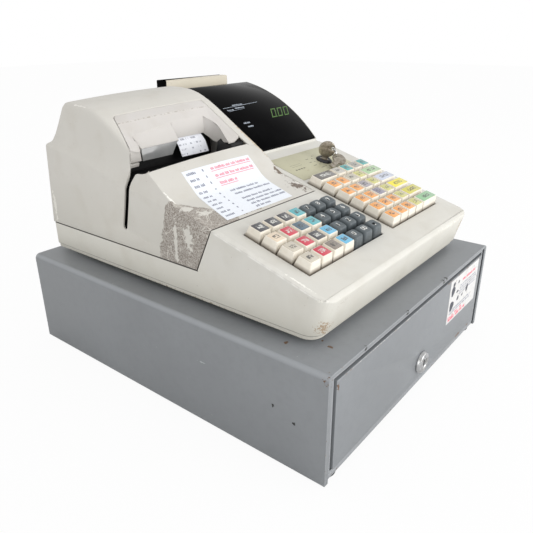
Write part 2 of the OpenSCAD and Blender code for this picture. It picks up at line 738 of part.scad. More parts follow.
module display_board() color([0.1, 0.3, 0.2]) on_drawer() {
    a = 38;
    translate([cover_r + 16, foot_y + 26, arc_z(foot_y + 26, 14)]) rotate([a, 0, 0]) {
        cube([body_r - cover_r - 32, 78, 1.6]);
        translate([8, 25, 1.6]) cube([body_r - cover_r - 52, 26, 5]);
        for (x = [3, body_r - cover_r - 38]) translate([x, 4, -12]) cylinder(r = 3, h = 12);
    }
}

module customer_display() color([0.78, 0.75, 0.68]) on_drawer() {
    y0 = cust_y1 - cust_d;
    block([cust_x0 + cust_cap, y0, cust_z0], [cust_x0 + cust_w, cust_y1 - 5, cust_z0 + cust_h]);
    block([mast_x - mast_w / 2, mast_y1 - mast_d, cust_z0 - 52], [mast_x + mast_w / 2, mast_y1, cust_z0]);
}

module customer_window() color([0.03, 0.03, 0.035]) on_drawer() {
    y0 = cust_y1 - cust_d;
    block([cust_x0, cust_y1 - 5, cust_z0 + 0], [cust_x0 + cust_w, cust_y1, cust_z0 + cust_h]);
    block([cust_x0, y0, cust_z0], [cust_x0 + cust_cap, cust_y1 - 5, cust_z0 + cust_h]);
}

// ---------- inside the case ----------

module keyboard_base() color([0.25, 0.25, 0.25]) on_deck() {
    x0 = left_x - 4;
    x1 = right_x + right_cols * key_x + 4;
    difference() {
        translate([x0, field_v - 4, plate_w - plate_t])
            cube([x1 - x0, right_rows * key_y + 8, plate_t]);
        // the printer bay takes the plate's left back corner
        translate([x0 - 1, field_v + left_rows * key_y + 4, plate_w - plate_t - cut])
            cube([right_x - 4 - x0, right_rows * key_y, plate_t + 2 * cut]);
        for (p = concat(left_places(), right_places()))
            translate([p[0], p[1], plate_w]) cube([stem + 2 * stem_gap, stem + 2 * stem_gap, 3 * plate_t], center = true);
    }
    // posts up to the underside of the deck
    for (p = [[x0 + 2, field_v - 2], [x1 - 2, field_v - 2], [x1 - 2, field_v + right_rows * key_y + 2]])
        translate([p[0], p[1], plate_w]) cylinder(r = 1.8, h = -plate_w - wall);
}

module mode_panel() color([0.78, 0.77, 0.64]) on_deck() difference() {
    translate([0, 0, 0.02]) linear_extrude(0.48) polygon([[cover_r + 9.5, 208.8], [cover_r + 9.5, 154.3],
        [body_r - 22.5, 154.3], [body_r - 22.5, 208.8]]);
    translate([mode_x, mode_v, -cut]) cylinder(r = mode_r + 0.1, h = 5);
}

// Black barrel with a plain ring, held in the deck
module mode_lock() color([0.06, 0.06, 0.06]) on_deck() translate([mode_x, mode_v, 0])
    rotate_extrude($fn = 64) polygon([[mode_plug_r + run, -16], [mode_r, -16], [mode_r, 0.6], [mode_r + 1.5, 0.6],
        [mode_r + 1.2, 1.6], [mode_r - 1, mode_h], [mode_plug_r + run, mode_h]]);

// A flat key in its own plane: X across, Y along the blade, which points down
module flat_key(blade) difference() {
    union() {
        circle(bow_r);
        translate([-3.6, -bow_r - blade]) square([7.2, blade + 3]);
        for (y = [6:4:blade - 4]) translate([3, -bow_r - y]) square([1.4, 2.2]);
    }
    translate([hole_x, hole_h - bow_h]) circle(hole_r);
}

module mode_key() color([0.62, 0.6, 0.56]) on_deck() translate([mode_x, mode_v, 0]) {
    rotate([0, 0, key_turn]) {
        translate([0, key_t / 2, bow_h]) rotate([90, 0, 0]) linear_extrude(key_t) flat_key(6);
    }
    difference() {
        translate([0, 0, -18]) cylinder(r = mode_plug_r, h = 18 + mode_h - 0.6);
        rotate([0, 0, key_turn]) block([-4.5, -key_t / 2, -10], [4.5, key_t / 2, mode_h]);
    }
}

// Flat split ring through the holes of both keys
ring_r = 5.72;
ring_wire = 0.6;
module key_ring() color([0.8, 0.8, 0.8]) on_deck() translate([mode_x + 6.01, mode_v - 7.54, 12.85])
    rotate([0, 65.87, -19.41]) difference() {
        translate([0, 0, -ring_wire]) cylinder(r = ring_r + ring_wire, h = 2 * ring_wire);
        translate([0, 0, -ring_wire - cut]) cylinder(r = ring_r - ring_wire, h = 2 * ring_wire + 2 * cut);
    }

// Second key, leaning on the mode panel, with its bow on the ring
spare_p = [mode_x + 6.2, mode_v - 17.2, 8.4];
module spare_key() color([0.6, 0.58, 0.55]) on_deck() translate(spare_p)
    rotate([-69.4, 0, -28.8]) rotate([0, 50.2, 0]) translate([0, key_t / 2, 0])
        rotate([90, 0, 0]) linear_extrude(key_t) difference() {
            union() {
                circle(9);
                translate([-3, -22]) square([6, 16]);
            }
            translate([-5.01, 0.81]) circle(hole_r);
        }

module receipt_paper() color([0.95, 0.96, 0.98]) on_drawer()
    along_x(receipt_x - roll_w / 2, receipt_x + roll_w / 2) polygon([
        [recess_y - 8, 108], [recess_y - 7.7, 108], [recess_y - 3.7, 131], [recess_y - 7.5, 134.8],
        [lip_y + 32, 123.4], [lip_y + 32, 123.1], [recess_y - 7.5, 134.4], [recess_y - 4.1, 131]]);

module paper_roll(x, w, r) difference() {
    bar_x(x - w / 2, x + w / 2, roll_y, roll_z, r);
    bar_x(x - w / 2 - cut, x + w / 2 + cut, roll_y, roll_z, 6 + run);
}

module receipt_roll() color([0.96, 0.96, 0.95]) on_drawer() paper_roll(receipt_x, roll_w, roll_r);

module journal_roll() color([0.96, 0.96, 0.95]) on_drawer() paper_roll(journal_x, roll_w, roll_r - 4);

module take_up_spool() color([0.2, 0.2, 0.22]) on_drawer() difference() {
    union() {
        bar_x(journal_x - roll_w / 2, journal_x + roll_w / 2, spool_y, spool_z, 9);
        for (s = [-1, 1]) bar_x(journal_x + s * roll_w / 2 - 1, journal_x + s * roll_w / 2 + 1, spool_y, spool_z, 17);
    }
    bar_x(journal_x - roll_w / 2 - 5, journal_x + roll_w / 2 + 5, spool_y, spool_z, 3 + run);
}

module printer_unit() color([0.12, 0.12, 0.13]) on_drawer() {
    x0 = journal_x - roll_w / 2 - 8;
    x1 = receipt_x + roll_w / 2 + 8;
    // base, print block and the cheeks that carry the rolls
    block([x0, lip_y + 4, seam_z], [x1, roll_y + 26, seam_z + 6]);
    block([x0, lip_y + 16, seam_z + 6], [x1, lip_y + 44, 66]);
    block([receipt_x - roll_w / 2 - 3, lip_y + 12, 66], [x1, lip_y + 44, 104]);
    for (x = [x0, receipt_x - roll_w / 2 - 7, x1 - 3])
        block([x, lip_y + 44, seam_z + 6], [x + 3, roll_y + 12, roll_z + 12]);
    bar_x(x0 + 3, receipt_x - roll_w / 2 - 7, roll_y, roll_z, 6);
    bar_x(receipt_x - roll_w / 2 - 4, x1 - 3, roll_y, roll_z, 6);
    for (x = [x0, receipt_x - roll_w / 2 - 7])
        block([x, lip_y + 16, 66], [x + 3, lip_y + 40, spool_z + 6]);
    bar_x(x0 + 3, receipt_x - roll_w / 2 - 7, spool_y, spool_z, 3);
}

module main_board() color([0.1, 0.35, 0.2]) on_drawer() {
    z = band_z - 4.3 + wall + 4;
    block([-100, -28, z], [100, 98, z + 1.6]);
    for (i = [0:4]) block([-80 + i * 34, 0, z + 1.6], [-60 + i * 34, 38, z + 5]);
    block([-90, 70, z + 1.6], [-60, 92, z + 12]);
}

module transformer() color([0.3, 0.28, 0.26]) on_drawer() {
    x = body_r - 60;
    y = body_b - 82;
    z = band_z - 4.3 + wall;
    block([x - 28, y - 22, z], [x + 28, y + 22, z + 46]);
    block([x - 18, y - 30, z + 9], [x + 18, y - 22, z + 37]);
    block([x - 18, y + 22, z + 9], [x + 18, y + 30, z + 37]);
}

module cord_gland() color([0.1, 0.1, 0.1]) on_drawer() difference() {
    union() {
        bar_y(body_b - 8, gland_tip, gland_x, gland_z, 7.9);
        bar_y(body_b - 0.1, body_b + 1.6, gland_x, gland_z, 10.5);
    }
    bar_y(body_b - 8 - cut, gland_tip + cut, gland_x, gland_z, cord_r);
}

// ---------- keys ----------

function place(x0, col, row, rows, wide = 1) =
    [x0 + (col + wide / 2) * key_x, field_v + (rows - row + 0.5) * key_y];
function left_places() = [for (r = [1:left_rows], c = [0:left_cols - 1]) place(left_x, c, r, left_rows)];
// The back row of the right field starts with the double key, the others end with it
function right_wide(r, i) = (r == 1 ? i == 0 : i == 4) ? 2 : 1;
function right_col(r, i) = r == 1 && i > 0 ? i + 1 : i;
function right_places() = [for (r = [1:right_rows], i = [0:4])
    place(right_x, right_col(r, i), r, right_rows, right_wide(r, i))];

// A tapered block standing on the XY plane
module tapered(w, d, h, in_x, in_y) polyhedron(
    points = [for (k = [0, 1], c = [[-1, -1], [1, -1], [1, 1], [-1, 1]])
        [c[0] * (w / 2 - k * in_x), c[1] * (d / 2 - k * in_y), k * h]],
    faces = [[0, 1, 2, 3], [7, 6, 5, 4], [0, 4, 5, 1], [1, 5, 6, 2], [2, 6, 7, 3], [3, 7, 4, 0]]);

// A tapered key top on a square stem
module key_cap(p, wide, top_cut, skirt) translate([p[0], p[1], 0]) {
    w = wide * key_x - key_gap;
    d = key_y - key_gap;
    translate([-w / 2, -d / 2, -skirt]) cube([w, d, skirt]);
    tapered(w, d, key_h, top_cut, 1.3 * top_cut);
    translate([-stem / 2, -stem / 2, plate_w - plate_t]) cube([stem, stem, -plate_w + plate_t - skirt]);
}

module number_key(col, row) color([0.33, 0.36, 0.38])
    on_deck() key_cap(place(left_x, col, row, left_rows), 1, 2, 3);

module left_row(row) color([0.93, 0.91, 0.86])
    on_deck() for (c = [0:3]) key_cap(place(left_x, c, row, left_rows), 1, 1.6, 3);

module right_row(row) color([0.93, 0.91, 0.86]) on_deck() for (i = [0:4])
    key_cap(place(right_x, right_col(row, i), row, right_rows, right_wide(row, i)), right_wide(row, i), 1.6, 3);

drawer_shell();
drawer_chassis();
runner_rails();
frame_rollers();
drawer_feet();
drawer_tray();
drawer_front();
tray_rollers();
lock_body();
lock_cylinder();
till_insert();
note_clips();
release_latch();
solenoid();
bottom_case();
top_case();
printer_cover();
cutter_cover();
journal_window();
display_filter();
display_board();
keyboard_base();
mode_panel();
mode_lock();
mode_key();
key_ring();
spare_key();
receipt_paper();
receipt_roll();
journal_roll();
take_up_spool();
printer_unit();
main_board();
transformer();
customer_display();
customer_window();
cord_gland();
case_screws();
number_key(4, 1);  // key_7
number_key(5, 1);  // key_8
number_key(6, 1);  // key_9
number_key(4, 2);  // key_4
number_key(5, 2);  // key_5
number_key(6, 2);  // key_6
number_key(4, 3);  // key_1
number_key(5, 3);  // key_2
number_key(6, 3);  // key_3
number_key(4, 4);  // key_0
number_key(5, 4);  // key_00
number_key(6, 4);  // key_point
left_row(1);  // left_keys_row_1
left_row(2);  // left_keys_row_2
left_row(3);  // left_keys_row_3
left_row(4);  // left_keys_row_4
right_row(1);  // right_keys_row_1
right_row(2);  // right_keys_row_2
right_row(3);  // right_keys_row_3
right_row(4);  // right_keys_row_4
right_row(5);  // right_keys_row_5
right_row(6);  // right_keys_row_6
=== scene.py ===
import json
import math
import random

import bmesh
import bpy
from mathutils import Matrix, Vector


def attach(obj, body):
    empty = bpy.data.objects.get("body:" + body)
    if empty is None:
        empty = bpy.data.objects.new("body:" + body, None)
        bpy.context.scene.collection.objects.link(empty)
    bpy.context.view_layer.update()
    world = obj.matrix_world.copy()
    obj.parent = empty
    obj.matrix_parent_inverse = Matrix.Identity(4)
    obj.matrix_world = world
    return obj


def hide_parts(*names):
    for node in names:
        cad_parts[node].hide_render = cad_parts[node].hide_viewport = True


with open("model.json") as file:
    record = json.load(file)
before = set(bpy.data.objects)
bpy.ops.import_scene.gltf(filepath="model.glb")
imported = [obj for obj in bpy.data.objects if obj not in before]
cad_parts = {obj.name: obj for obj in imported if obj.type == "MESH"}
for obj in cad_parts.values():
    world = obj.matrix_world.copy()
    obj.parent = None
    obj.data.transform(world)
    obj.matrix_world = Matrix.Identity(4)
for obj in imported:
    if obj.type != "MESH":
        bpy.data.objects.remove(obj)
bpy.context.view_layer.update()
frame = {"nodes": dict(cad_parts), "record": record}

# ---------------------------------------------------------------- camera
# Normal lens on a tripod to the left of the machine, a little above its keyboard, looking down
# at the front left corner of the drawer.
eye = bpy.data.objects.new("camera", bpy.data.cameras.new("camera"))
bpy.context.scene.collection.objects.link(eye)
eye.data.sensor_width = 36
eye.data.lens = 37.12
eye.data.clip_start = 0.01
eye.data.clip_end = 30
right, down, ahead = (
    Vector((0.62137, -0.7835, -0.00537)),
    Vector((-0.31248, -0.24152, -0.91871)),
    Vector((0.71851, 0.57254, -0.39489)),
)
eye.matrix_world = Matrix(
    [[right[i], -down[i], -ahead[i], (-0.4908, -0.3940, 0.36124)[i]] for i in range(3)]
    + [[0, 0, 0, 1]]
)
bpy.context.scene.camera = eye
bpy.context.scene.view_settings.view_transform = "Standard"


# ---------------------------------------------------------------- studio
# White sweep of paper, an even pale room, one large soft lamp low in front, and weaker ones at
# both sides and above. What the camera sees of the room is white.
def shade(colour):
    """8-bit colour, as a colour picker gives it, to the linear value a shader takes"""
    return tuple(
        (c / 255 / 12.92) if c <= 10 else ((c / 255 + 0.055) / 1.055) ** 2.4 for c in colour
    ) + (1.0,)


room = bpy.data.worlds.new("room")
bpy.context.scene.world = room
room.use_nodes = True
tree = room.node_tree
tree.nodes.clear()
seen = tree.nodes.new("ShaderNodeLightPath")
air = tree.nodes.new("ShaderNodeBackground")
air.inputs["Color"].default_value = (1, 1, 1, 1)
air.inputs["Strength"].default_value = 0.83
white = tree.nodes.new("ShaderNodeBackground")
white.inputs["Color"].default_value = (1, 1, 1, 1)
white.inputs["Strength"].default_value = 1
either = tree.nodes.new("ShaderNodeMath")
either.operation = "MAXIMUM"
tree.links.new(seen.outputs["Is Camera Ray"], either.inputs[0])
tree.links.new(seen.outputs["Is Transmission Ray"], either.inputs[1])
choose = tree.nodes.new("ShaderNodeMixShader")
tree.links.new(either.outputs[0], choose.inputs[0])
tree.links.new(air.outputs[0], choose.inputs[1])
tree.links.new(white.outputs[0], choose.inputs[2])
tree.links.new(choose.outputs[0], tree.nodes.new("ShaderNodeOutputWorld").inputs[0])

for name, place, size, power in (
    ("front_lamp", (0.5, -1.9, 0.5), 1.4, 19),
    ("left_lamp", (-1.6, -0.9, 0.6), 1.2, 4),
    ("right_lamp", (1.7, -1.5, 0.8), 1.2, 6),
    ("top_lamp", (0.0, 0.3, 2.0), 1.6, 2),
):
    lamp = bpy.data.objects.new(name, bpy.data.lights.new(name, "AREA"))
    bpy.context.scene.collection.objects.link(lamp)
    lamp.data.shape = "DISK"
    lamp.data.size = size
    lamp.data.energy = power
    lamp.location = place
    lamp.rotation_mode = "QUATERNION"
    lamp.rotation_quaternion = (Vector((0, 0, 0.15)) - lamp.location).to_track_quat("-Z", "Y")

sweep = bpy.data.meshes.new("sweep")
sweep.from_pydata([(-6, -6, 0), (6, -6, 0), (6, 6, 0), (-6, 6, 0)], [], [(0, 1, 2, 3)])
floor = bpy.data.objects.new("floor", sweep)
bpy.context.scene.collection.objects.link(floor)
paper = bpy.data.materials.new("sweep_paper")
paper.use_nodes = True
tree = paper.node_tree
seen = tree.nodes.new("ShaderNodeLightPath")
glow = tree.nodes.new("ShaderNodeEmission")
glow.inputs["Color"].default_value = (1, 1, 1, 1)
dim = tree.nodes.new("ShaderNodeMath")
dim.operation = "MULTIPLY"
dim.inputs[1].default_value = 0.94
mixed = tree.nodes.new("ShaderNodeMixShader")
plain = tree.nodes["Principled BSDF"]
plain.inputs["Base Color"].default_value = (0.86, 0.86, 0.86, 1)
plain.inputs["Roughness"].default_value = 0.9
tree.links.new(seen.outputs["Is Camera Ray"], dim.inputs[0])
tree.links.new(dim.outputs[0], mixed.inputs[0])
tree.links.new(plain.outputs[0], mixed.inputs[1])
tree.links.new(glow.outputs[0], mixed.inputs[2])
tree.links.new(mixed.outputs[0], tree.nodes["Material Output"].inputs[0])
sweep.materials.append(paper)


# ---------------------------------------------------------------- drawer housing
# Sheet-steel box, 1.5 mm thick, folded with a 6 mm bend along the top and painted satin grey.
# Years of use have chipped the paint along its edges, where the steel rusts.
def wire(tree, kind, *inputs, op=None, **named):
    """Adds a node; each input is a socket to link, a value, or None to leave alone"""
    node = tree.nodes.new(kind)
    if op:
        node.operation = op
    for key, value in list(enumerate(inputs)) + list(named.items()):
        if value is None:
            continue
        key = key.replace("_", " ") if isinstance(key, str) else key
        if isinstance(value, bpy.types.NodeSocket):
            tree.links.new(value, node.inputs[key])
        else:
            node.inputs[key].default_value = value
    return node


def calc(tree, op, *values):
    return wire(tree, "ShaderNodeMath", *values, op=op).outputs[0]


def remap(tree, *values):
    """A value read between two limits, as 0 to 1 or between the last two values"""
    return wire(tree, "ShaderNodeMapRange", *values).outputs[0]


def effect(name, takes, gives):
    """An empty shader node group, with its named inputs and outputs"""
    group = bpy.data.node_groups.new(name, "ShaderNodeTree")
    for label, kind, value in takes:
        socket = group.interface.new_socket(label, in_out="INPUT", socket_type="NodeSocket" + kind)
        if value is not None:
            socket.default_value = value
    for label, kind in gives:
        group.interface.new_socket(label, in_out="OUTPUT", socket_type="NodeSocket" + kind)
    return group, group.nodes.new("NodeGroupInput").outputs, group.nodes.new("NodeGroupOutput").inputs


def use(tree, group, **values):
    node = tree.nodes.new("ShaderNodeGroup")
    node.node_tree = group
    for key, value in values.items():
        key = key.replace("_", " ")
        if isinstance(value, bpy.types.NodeSocket):
            tree.links.new(value, node.inputs[key])
        else:
            node.inputs[key].default_value = value
    return node.outputs


def material(name, rough, metal=0.0, coat=0.0, specular=0.5):
    made = bpy.data.materials.new(name)
    made.use_nodes = True
    tree = made.node_tree
    shader = tree.nodes["Principled BSDF"]
    shader.inputs["Roughness"].default_value = rough
    shader.inputs["Metallic"].default_value = metal
    shader.inputs["Coat Weight"].default_value = coat
    shader.inputs["Coat Roughness"].default_value = 0.08
    shader.inputs["Specular IOR Level"].default_value = specular
    return made, tree, shader, tree.nodes.new("ShaderNodeTexCoord").outputs["Object"]


def blend_colour(tree, mask, first, second):
    node = tree.nodes.new("ShaderNodeMix")
    node.data_type = "RGBA"
    for socket, value in ((node.inputs["Factor"], mask), (node.inputs["A"], first), (node.inputs["B"], second)):
        if isinstance(value, bpy.types.NodeSocket):
            tree.links.new(value, socket)
        else:
            socket.default_value = value
    return node.outputs["Result"]


# Patchy: soft noise between two limits
patchy, taken, given = effect(
    "patchy",
    [("Vector", "Vector", None), ("Scale", "Float", 100.0), ("From", "Float", 0.4), ("To", "Float", 0.7)],
    [("Mask", "Float")],
)
cloud = wire(patchy, "ShaderNodeTexNoise", Vector=taken["Vector"], Scale=taken["Scale"], Detail=4.0)
span = wire(patchy, "ShaderNodeMapRange", cloud.outputs[0], taken["From"], taken["To"])
patchy.links.new(span.outputs[0], given["Mask"])

# Fine bump: orange peel or moulded grain
grain, taken, given = effect(
    "surface_grain",
    [("Vector", "Vector", None), ("Scale", "Float", 1500.0), ("Depth", "Float", 0.1)],
    [("Normal", "Vector")],
)
fine = wire(grain, "ShaderNodeTexNoise", Vector=taken["Vector"], Scale=taken["Scale"], Detail=2.0)
relief = wire(grain, "ShaderNodeBump", Strength=taken["Depth"], Height=fine.outputs[0])
relief.inputs["Distance"].default_value = 0.0003
grain.links.new(relief.outputs[0], given["Normal"])

# Worn edges of a box: where two of its faces meet, broken up by noise
edge_wear, taken, given = effect(
    "box_edge_wear",
    [("Vector", "Vector", None), ("Centre", "Vector", None), ("Half", "Vector", None),
     ("Width", "Float", 0.002), ("Scale", "Float", 300.0), ("Share", "Float", 0.5)],
    [("Mask", "Float")],
)
off = wire(edge_wear, "ShaderNodeVectorMath", taken["Vector"], taken["Centre"], op="SUBTRACT")
out = wire(edge_wear, "ShaderNodeVectorMath", off.outputs[0], op="ABSOLUTE")
gap = wire(edge_wear, "ShaderNodeVectorMath", out.outputs[0], taken["Half"], op="SUBTRACT")
side = wire(edge_wear, "ShaderNodeSeparateXYZ", gap.outputs[0]).outputs
low = calc(edge_wear, "MINIMUM", side[0], side[1])
high = calc(edge_wear, "MAXIMUM", side[0], side[1])
second = calc(edge_wear, "MINIMUM", high, side[2])
second = calc(edge_wear, "MAXIMUM", low, second)
near = calc(edge_wear, "DIVIDE", second, taken["Width"])
near = calc(edge_wear, "ADD", near, 1.0)
broken = wire(edge_wear, "ShaderNodeTexNoise", Vector=taken["Vector"], Scale=taken["Scale"], Detail=6.0).outputs[0]
broken = calc(edge_wear, "ADD", broken, taken["Share"])
worn = calc(edge_wear, "MULTIPLY", near, broken)
worn = remap(edge_wear, worn, 0.62, 0.72)
edge_wear.links.new(worn, given["Mask"])


def clouds(tree, at, scale, low, high):
    return use(tree, patchy, Vector=at, Scale=scale, From=low, To=high)["Mask"]


def roughen(tree, shader, at, scale, depth):
    """Gives a shader the fine bump"""
    tree.links.new(use(tree, grain, Vector=at, Scale=scale, Depth=depth)["Normal"], shader.inputs["Normal"])


def spot(tree, at, centre, reach, scale=180.0, share=0.5):
    """A ragged patch round a point, as far as reach in each direction"""
    off = wire(tree, "ShaderNodeVectorMath", at, centre, op="SUBTRACT").outputs[0]
    off = wire(tree, "ShaderNodeVectorMath", off, reach, op="DIVIDE").outputs[0]
    far = wire(tree, "ShaderNodeVectorMath", off, op="LENGTH").outputs["Value"]
    rag = wire(tree, "ShaderNodeTexNoise", Vector=at, Scale=scale, Detail=6.0, Roughness=0.65).outputs[0]
    rag = calc(tree, "SUBTRACT", rag, share)
    rag = calc(tree, "MULTIPLY", rag, 3.2)
    edge = calc(tree, "SUBTRACT", rag, far)
    return remap(tree, edge, -0.75, -0.68)


def steel_paint(name, colour, centre, half, wear, rust, marks=(), shade_behind=None):
    """Satin paint over sheet steel, chipped along the edges of the box that it covers, with a painted highlight on its
    bends and, if asked, painted shade behind a given depth
    """
    made, tree, shader, at = material(name, 0.42)
    tone = clouds(tree, at, 9.0, 0.3, 0.7)
    dust = clouds(tree, at, 140.0, 0.45, 0.75)
    colour_now = blend_colour(tree, tone, shade([c * 0.96 for c in colour]), shade([min(c * 1.03, 255) for c in colour]))
    dust_share = calc(tree, "MULTIPLY", dust, 0.25)
    colour_now = blend_colour(tree, dust_share, colour_now, shade([c * 0.9 for c in colour]))
    specks = clouds(tree, at, 420.0, rust, rust + 0.015)
    zone = clouds(tree, at, 11.0, 0.5, 0.62)
    specks = calc(tree, "MULTIPLY", specks, zone)
    edge = use(tree, edge_wear, Vector=at, Centre=centre, Half=half, Width=wear, Scale=230.0, Share=0.1)["Mask"]
    bare = calc(tree, "MAXIMUM", edge, specks)
    kind = clouds(tree, at, 60.0, 0.42, 0.55)
    bare_colour = blend_colour(tree, kind, shade((112, 84, 64)), shade((178, 178, 176)))
    # Painted highlight: the colour turns lighter where the surface normal leans between two axes, on bends and rounded
    # edges
    facing = wire(tree, "ShaderNodeSeparateXYZ", tree.nodes["Texture Coordinate"].outputs["Normal"]).outputs
    bend_highlight = [wire(tree, "ShaderNodeMath", calc(tree, "MULTIPLY", facing[i], facing[j]),
                 op="ABSOLUTE").outputs[0] for i, j in ((0, 2), (1, 2), (0, 1))]
    bend_highlight = calc(tree, "MAXIMUM", calc(tree, "MAXIMUM", bend_highlight[0], bend_highlight[1]), bend_highlight[2])
    bend_highlight = remap(tree, bend_highlight, 0.2, 0.5, 0.0, 0.5)
    colour_now = blend_colour(tree, bend_highlight, colour_now, shade([min(c * 1.3, 255) for c in colour]))
    colour_now = blend_colour(tree, bare, colour_now, bare_colour)
    # Painted shade: near-black behind the given depth, for the shade in the gap between the drawer front and the
    # housing
    if shade_behind is not None:
        depth = wire(tree, "ShaderNodeSeparateXYZ", at).outputs[1]
        deep = remap(tree, depth, shade_behind, shade_behind + 0.0009, 0.0, 0.9)
        near_front = remap(tree, depth, shade_behind + 0.03, shade_behind + 0.05, 1.0, 0.0)
        deep = calc(tree, "MULTIPLY", deep, near_front)
        colour_now = blend_colour(tree, deep, colour_now, shade((24, 24, 25)))
    for place, reach, tint in marks:
        colour_now = blend_colour(tree, spot(tree, at, place, reach, 420.0), colour_now, shade(tint))
    tree.links.new(colour_now, shader.inputs["Base Color"])
    rough = remap(tree, tone, 0.0, 1.0, 0.36, 0.48)
    tree.links.new(rough, shader.inputs["Roughness"])
    roughen(tree, shader, at, 900.0, 0.12)
    return made


body_of = {n: b for b, ns in frame["record"]["behaviour"]["bodies"].items() for n in ns}


def settle(name, mesh, finish, body, nodes=(), smooth=35, place=None):
    """Shades a finished mesh, and hangs it on the body and nodes that it stands for"""
    mesh.polygons.foreach_set("use_smooth", [True] * len(mesh.polygons))
    mesh.set_sharp_from_angle(angle=math.radians(smooth))
    if finish is not None:
        mesh.materials.clear()
        mesh.materials.append(finish)
    piece = bpy.data.objects.new(name, mesh)
    bpy.context.scene.collection.objects.link(piece)
    if place is not None:
        piece.matrix_world = place
    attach(piece, body)
    if nodes:
        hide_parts(*nodes)
    return piece


def dressed(node, finish, edge=0.0004, corner=28, smooth=40, rounds=2):
    """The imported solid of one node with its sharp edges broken, as the real part has them"""
    bm = bmesh.new()
    bm.from_mesh(frame["nodes"][node].data)
    bmesh.ops.remove_doubles(bm, verts=bm.verts, dist=0.000004)
    bmesh.ops.dissolve_limit(bm, angle_limit=math.radians(0.4), verts=bm.verts, edges=bm.edges)
    sharp = [e for e in bm.edges if len(e.link_faces) == 2 and e.calc_face_angle(0) > math.radians(corner)]
    if edge:
        bmesh.ops.bevel(bm, geom=sharp, offset=edge, offset_type="OFFSET", segments=rounds,
                        profile=0.5, affect="EDGES", clamp_overlap=False)
    mesh = bpy.data.meshes.new(node + "_made")
    bm.to_mesh(mesh)
    bm.free()
    return settle(node + "_piece", mesh, finish, body_of[node], (node,), smooth)


# The near-black hole colour is painted shade in small holes and dents of the steel; rust and scratch are real marks
rust, hole_shade, scratch = (102, 76, 58), (34, 33, 33), (172, 175, 178)
housing_marks = (
    ((-0.161, -0.152, 0.114), (0.0030, 0.0022, 0.003), rust), ((-0.143, -0.186, 0.114), (0.0022, 0.0030, 0.003), rust),
    ((-0.139, -0.175, 0.114), (0.0014, 0.0016, 0.003), rust), ((-0.176, -0.207, 0.108), (0.0075, 0.004, 0.006), rust),
    ((-0.125, -0.210, 0.112), (0.0034, 0.004, 0.003), hole_shade), ((-0.044, -0.210, 0.112), (0.0036, 0.004, 0.003), hole_shade),
    ((0.045, -0.209, 0.112), (0.0044, 0.004, 0.0030), hole_shade), ((0.053, -0.209, 0.113), (0.0026, 0.004, 0.003), hole_shade),
    ((-0.1825, -0.177, 0.054), (0.003, 0.0024, 0.0024), hole_shade), ((-0.1825, -0.154, 0.062), (0.003, 0.0020, 0.0020), hole_shade),
    ((-0.1825, -0.070, 0.072), (0.003, 0.0060, 0.0007), scratch), ((0.181, -0.209, 0.112), (0.003, 0.003, 0.003), hole_shade),
    ((0.040, -0.210, 0.006), (0.0032, 0.004, 0.0022), rust), ((0.165, -0.121, 0.114), (0.0015, 0.0018, 0.003), rust),
)
housing_paint = steel_paint("housing_paint", (131, 134, 137), (0, 0, 0.0585), (0.1825, 0.21, 0.0555), 0.0022, 0.72, housing_marks)
dressed("drawer_shell", housing_paint, 0.0004, 40)
# The rim's grey is made lighter than the housing's to make up for the shade it sits in: painted light
rim_paint_lightened = steel_paint("rim_paint_lightened", (148, 151, 154), (0, 0, 0.058), (0.1756, 0.2084, 0.0513), 0.002, 0.7, (), -0.2076)
dressed("drawer_chassis", rim_paint_lightened, 0.0003)


# ---------------------------------------------------------------- drawer front and tray
# Folded steel panel screwed to the tray that slides in the housing on four nylon rollers.
# The tray's and the runners' steel is thinner and only thinly painted or zinc plated.
front_paint = steel_paint("front_paint", (128, 131, 134), (0, -0.203, 0.0585), (0.1699, 0.0068, 0.0452), 0.0016, 0.715,
                          (((0.118, -0.210, 0.0145), (0.010, 0.004, 0.0022), rust), ((0.150, -0.210, 0.0145), (0.004, 0.004, 0.0016), rust),
                           ((-0.168, -0.210, 0.098), (0.002, 0.004, 0.004), rust), ((-0.050, -0.210, 0.055), (0.0006, 0.004, 0.0006), hole_shade)))
dressed("drawer_front", front_paint, 0.0008, 28, rounds=3)
tray_paint = steel_paint("tray_paint", (122, 125, 128), (0, -0.013, 0.05), (0.16, 0.183, 0.04), 0.0015, 0.7)
dressed("drawer_tray", tray_paint, 0.0003)


def plated(name, colour, rough, streak):
    """Bare metal, brushed or plated, with faint streaks along X"""
    made, tree, shader, at = material(name, rough, metal=1.0)
    stretched = wire(tree, "ShaderNodeVectorMath", at, (0.06, 1.0, 1.0), op="MULTIPLY").outputs[0]
    lines = clouds(tree, stretched, streak, 0.3, 0.7)
    dull = clouds(tree, at, 90.0, 0.35, 0.75)
    first = blend_colour(tree, lines, shade(colour), shade([c * 0.9 for c in colour]))
    tree.links.new(blend_colour(tree, dull, first, shade([c * 0.8 for c in colour])), shader.inputs["Base Color"])
    tree.links.new(remap(tree, dull, 0.0, 1.0, rough, rough + 0.16), shader.inputs["Roughness"])
    roughen(tree, shader, stretched, streak * 2, 0.06)
    return made


zinc = plated("zinc_plate", (186, 188, 190), 0.34, 700.0)
dressed("runner_rails", zinc, 0.0002)
dressed("release_latch", zinc, 0.0002)
dressed("case_screws", zinc, 0.0003)


def moulded(name, colour, rough=0.5, bump=0.2, spread=0.05, coat=0.0):
    """Moulded plastic or rubber with a fine grain and a little dust in it"""
    made, tree, shader, at = material(name, rough, coat=coat)
    tone = clouds(tree, at, 40.0, 0.3, 0.7)
    light = tuple(min(c * (1 + spread) + 2, 255) for c in colour)
    tree.links.new(blend_colour(tree, tone, shade(colour), shade(light)), shader.inputs["Base Color"])
    tree.links.new(remap(tree, tone, 0.0, 1.0, rough - 0.05, rough + 0.08), shader.inputs["Roughness"])
    roughen(tree, shader, at, 2200.0, bump)
    return made


